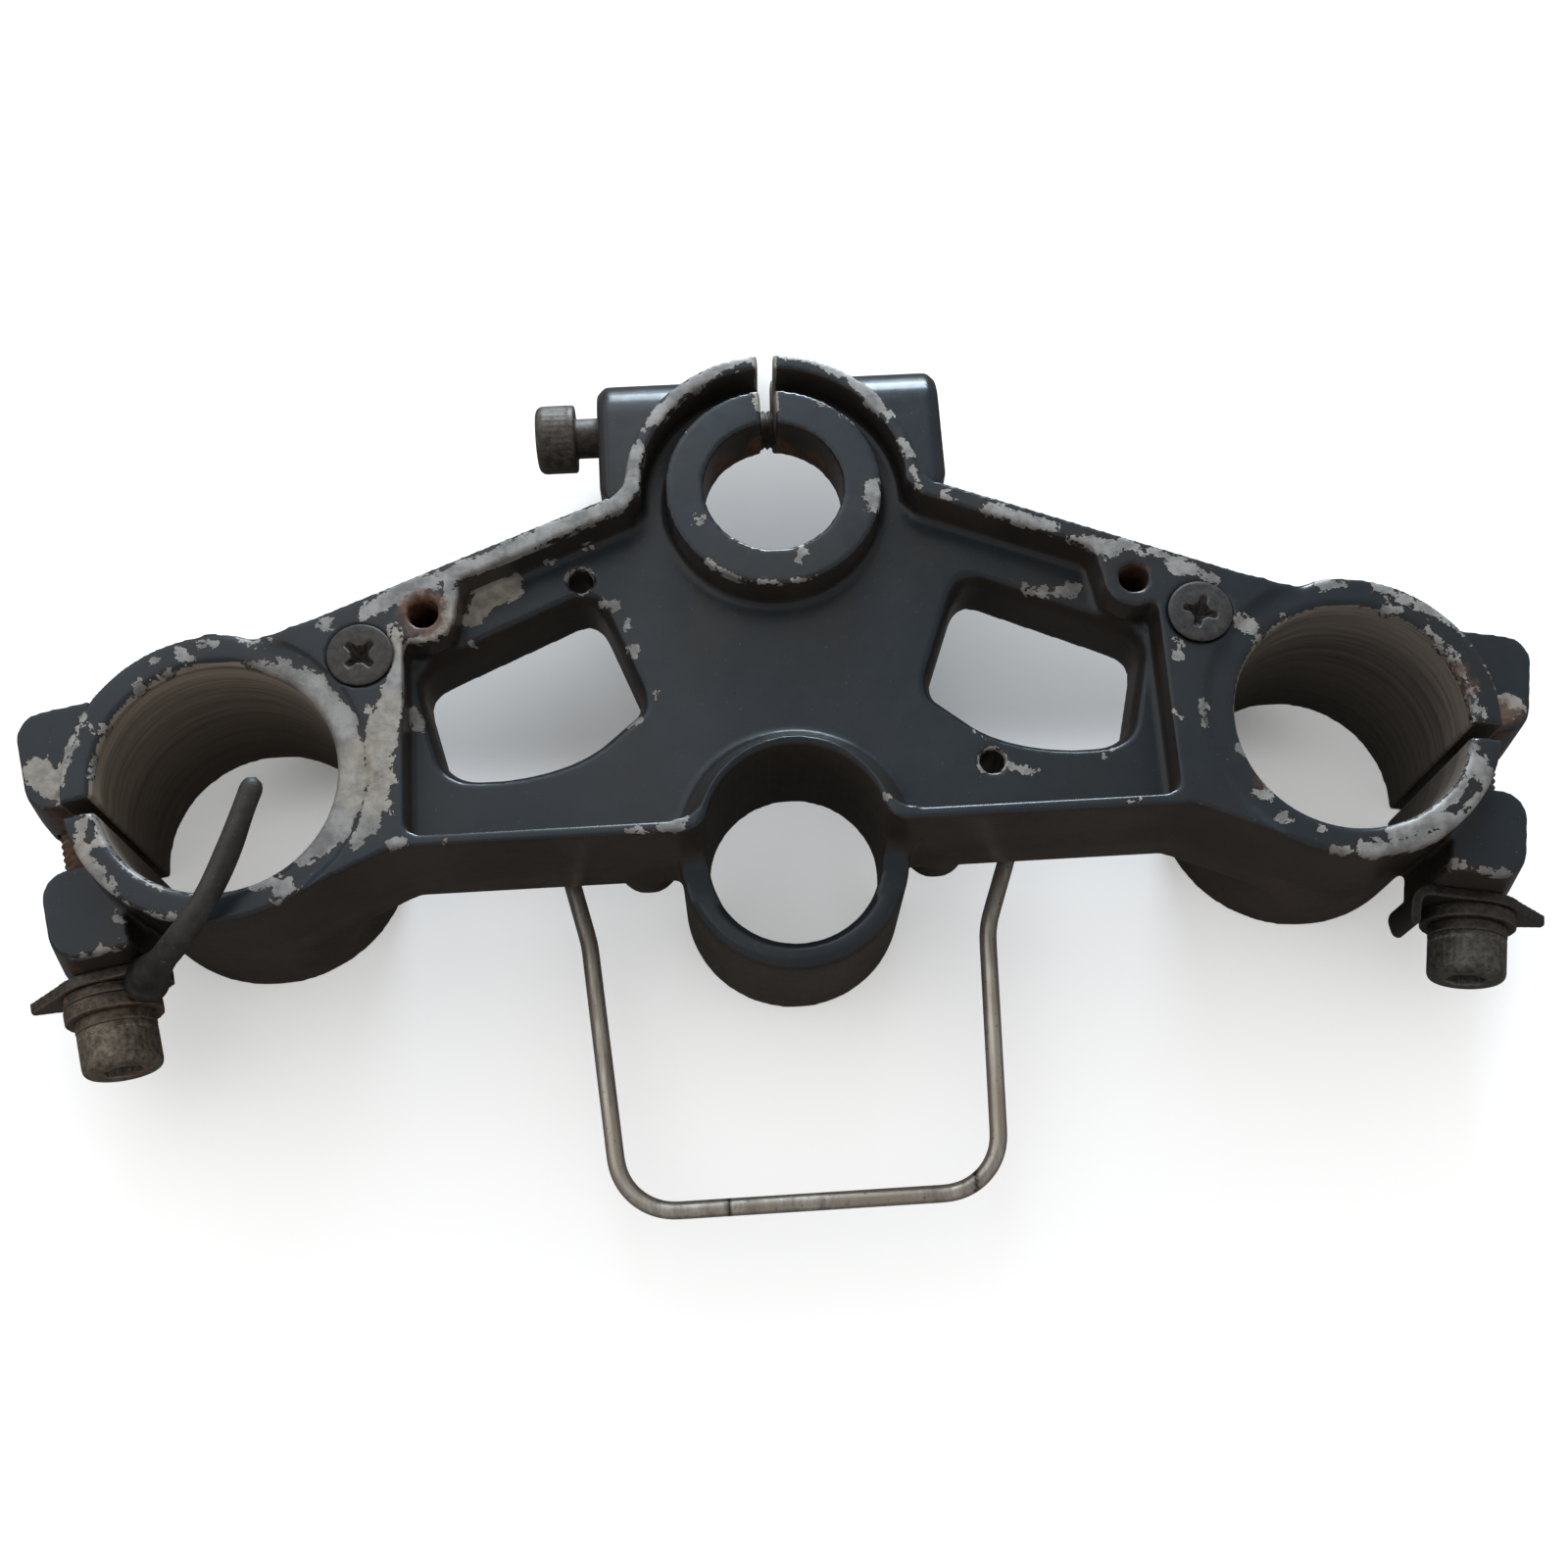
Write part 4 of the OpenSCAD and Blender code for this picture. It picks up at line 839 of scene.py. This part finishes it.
left_steel = worn_steel("left_bolt_steel", (0.062, 0.05, 0.038), (0.21, 0.178, 0.138), 0.15,
    rust=(0.14, 0.062, 0.034), rough=0.42, metal=0.6, edge=0.4, rusty_end=-0.069)
right_steel = worn_steel("right_bolt_steel", (0.042, 0.0385, 0.0345), (0.13, 0.122, 0.108), 0.04, rough=0.4,
    metal=0.6, edge=0.4)
stem_steel = worn_steel("stem_bolt_steel", (0.045, 0.038, 0.032), (0.115, 0.1, 0.087), 0.06, rough=0.5,
    metal=0.55, edge=0.25)
washer_steel = worn_steel("rusty_washer", (0.045, 0.034, 0.025), (0.145, 0.114, 0.083), 0.18,
    rust=(0.12, 0.056, 0.03), rough=0.5, metal=0.55, edge=0.4)
dark_washer = worn_steel("dark_washer", (0.022, 0.0185, 0.016), (0.065, 0.055, 0.046), 0.06, rough=0.46,
    metal=0.5, edge=0.35)
plate_left = worn_steel("left_plate_black", (0.03, 0.0245, 0.0195), (0.088, 0.073, 0.056), 0.1, rough=0.4,
    metal=0.5, edge=0.5)
plate_right = worn_steel("right_plate_black", (0.0125, 0.0118, 0.0112), (0.034, 0.031, 0.028), 0.0, rough=0.34,
    metal=0.4, edge=0.4)
left_screw = worn_steel("brown_screw", (0.0165, 0.0133, 0.0112), (0.041, 0.0335, 0.028), 0.08, rough=0.5,
    metal=0.3, edge=0.35)
right_screw = worn_steel("grey_screw", (0.0155, 0.0142, 0.0132), (0.04, 0.0365, 0.034), 0.05, rough=0.48,
    metal=0.3, edge=0.35)
rubber = old_rubber()

pinch = dict(head_r=6.55, head_h=7.4, flats=6.0, shank_r=4.0, pitch=1.25)
for side, name, steel, extra in ((-1, "left", left_steel, EYE_T), (1, "right", right_steel, 0.0)):
    start = at_bolt((0, -STACK - extra - pinch["head_h"], 0), side)
    ahead = at_bolt((0, 0, 0), side) - start
    length, thread_from = pinch["head_h"] + GRIP + STACK + extra, pinch["head_h"] + STACK + extra + 9
    socket_screw(name + "_cap_screw", name + "_pinch_bolt", start, ahead, steel, length=length,
        thread_from=thread_from, **pinch)
stem = dict(head_r=6.0, head_h=7.0, flats=5.5, shank_r=3.5, pitch=1.0)
start = (STEM_LUG_END - stem["head_h"], STEM_BOLT_Y, STEM_BOLT_Z)
socket_screw("stem_cap_screw", "stem_pinch_bolt", start, (1, 0, 0), stem_steel, length=61.3, thread_from=40,
    **stem)

cross_screw("left_cross_screw", "left_top_screw", -1, 0.35, math.radians(45), left_screw)
cross_screw("right_cross_screw", "right_top_screw", 1, 0.55, math.radians(20), right_screw)

for side, washer, plate in (("left", washer_steel, plate_left), ("right", dark_washer, plate_right)):
    soften(side + "_flat_washer", washer, 5)
    soften(side + "_lock_washer", washer, 4)
    soften(side + "_guide_plate", plate, 5)

side_fold(plate_right)

finger, eye_ring = rubber_finger(rubber)
skin("finger_eye", [eye_ring], plate_left)
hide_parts("guide_finger")

wire_loop(dull_wire())


def plain_floor():
    """A wide flat sheet just under the part, white to the eye, with a painted grey shadow under the part,
    which is seen through the windows and the stem bore."""
    half, z = 4.0, FLOOR_Z * MM - 0.00005
    mesh = bpy.data.meshes.new("floor")
    mesh.from_pydata([(-half, -half, z), (half, -half, z), (half, half, z), (-half, half, z)], [],
        [(0, 1, 2, 3)])
    g = Graph("pale_floor")
    path = g.add("ShaderNodeLightPath")
    seen = g.math("MULTIPLY", path.outputs["Is Camera Ray"], 0.3)
    x, y = g.part(g.coords, "X"), g.part(g.coords, "Y")
    # Painted shadow: under the part, from the front to a line that runs back to a point behind the stem, the
    # floor glows less and turns grey.
    rear = g.math("MULTIPLY_ADD", g.math("ABSOLUTE", x), -0.84, 0.062)
    under = g.math("MULTIPLY", g.span(g.math("SUBTRACT", rear, y), 0.0, 0.026), g.span(y, -0.044, -0.024))
    seen = g.math("MULTIPLY", seen, g.span(under, 0, 1, 1.0, 0.4))
    bounced = g.mix(path.outputs["Is Glossy Ray"], (0.4, 0.38, 0.355), (0.13, 0.12, 0.11))
    tone = g.mix(path.outputs["Is Camera Ray"], bounced, g.mix(under, (0.8, 0.8, 0.8), (0.41, 0.405, 0.4)))
    white = (1.0, 1.0, 1.0)
    g.finish(Base_Color=tone, Roughness=0.9, Specular_IOR_Level=0.0, Emission_Color=white,
        Emission_Strength=seen)
    mesh.materials.append(g.material)
    shown("floor", mesh)


def lamp(name, place, size, power, colour):
    """A square soft lamp at a place, facing the middle of the part."""
    light = bpy.data.lights.new(name, "AREA")
    light.size, light.energy, light.color = size, power, colour
    lamp_object = shown(name, light)
    away = np.array(place, float) - np.array(MIDDLE)
    away /= np.linalg.norm(away)
    right = np.cross((0, 0, 1), away)
    right /= np.linalg.norm(right)
    frame_matrix = np.eye(4)
    frame_matrix[:3, :3] = np.stack([right, np.cross(away, right), away], -1)
    frame_matrix[:3, 3] = place
    lamp_object.matrix_world = Matrix(frame_matrix.tolist())


plain_floor()
lamp("sky", (-0.6, 0.42, 0.85), 1.5, 4.6, (0.97, 0.98, 1.0))
lamp("back_window", (-0.12, 0.95, 0.92), 0.5, 1.4, (0.7, 0.86, 1.0))
lamp("low_window", (0.12, 1.2, 0.34), 0.45, 22.0, (0.74, 0.88, 1.0))

world = bpy.data.worlds.new("room")
bpy.context.scene.world = world
world.use_nodes = True
nodes, links = world.node_tree.nodes, world.node_tree.links
nodes.clear()
ray = nodes.new("ShaderNodeLightPath")
room = nodes.new("ShaderNodeBackground")
room.inputs[0].default_value = (1.0, 0.99, 0.98, 1.0)
dim = nodes.new("ShaderNodeMapRange")
dim.inputs["To Min"].default_value, dim.inputs["To Max"].default_value = 0.78, 0.34
links.new(ray.outputs["Is Glossy Ray"], dim.inputs["Value"])
links.new(dim.outputs["Result"], room.inputs[1])
white = nodes.new("ShaderNodeBackground")
white.inputs[0].default_value, white.inputs[1].default_value = (1.0, 1.0, 1.0, 1.0), 1.0
both = nodes.new("ShaderNodeMixShader")
out = nodes.new("ShaderNodeOutputWorld")
links.new(ray.outputs["Is Camera Ray"], both.inputs[0])
links.new(room.outputs[0], both.inputs[1])
links.new(white.outputs[0], both.inputs[2])
links.new(both.outputs[0], out.inputs[0])

# The camera was solved from the part's own sizes: its place in millimetres, its turn as an axis
# times an angle, and the focal length and middle of the picture as shares of the picture's width
FOCAL, MIDDLE_X, MIDDLE_Y = 1.180895, 0.512298, 0.59375
TURN = np.array([2.86284879, -0.0907097946, 0.0466782829])
SHIFT = np.array([-5.03766586, -75.2208230, 312.216958])
angle = float(np.linalg.norm(TURN))
k = TURN / angle
cross = np.array([[0, -k[2], k[1]], [k[2], 0, -k[0]], [-k[1], k[0], 0]])
rotation = np.eye(3) + math.sin(angle) * cross + (1 - math.cos(angle)) * cross @ cross
pose = np.eye(4)
pose[:3, :3] = rotation.T @ np.diag([1.0, -1.0, -1.0])
pose[:3, 3] = -rotation.T @ SHIFT * MM
lens = bpy.data.cameras.new("camera")
lens.sensor_width, lens.lens = 36.0, 36.0 * FOCAL
lens.shift_x, lens.shift_y = 0.5 - MIDDLE_X, MIDDLE_Y - 0.5
lens.clip_start, lens.clip_end = 0.01, 20.0
camera = shown("camera", lens)
camera.matrix_world = Matrix(pose.tolist())
bpy.context.scene.camera = camera
bpy.context.scene.view_settings.view_transform = "Standard"
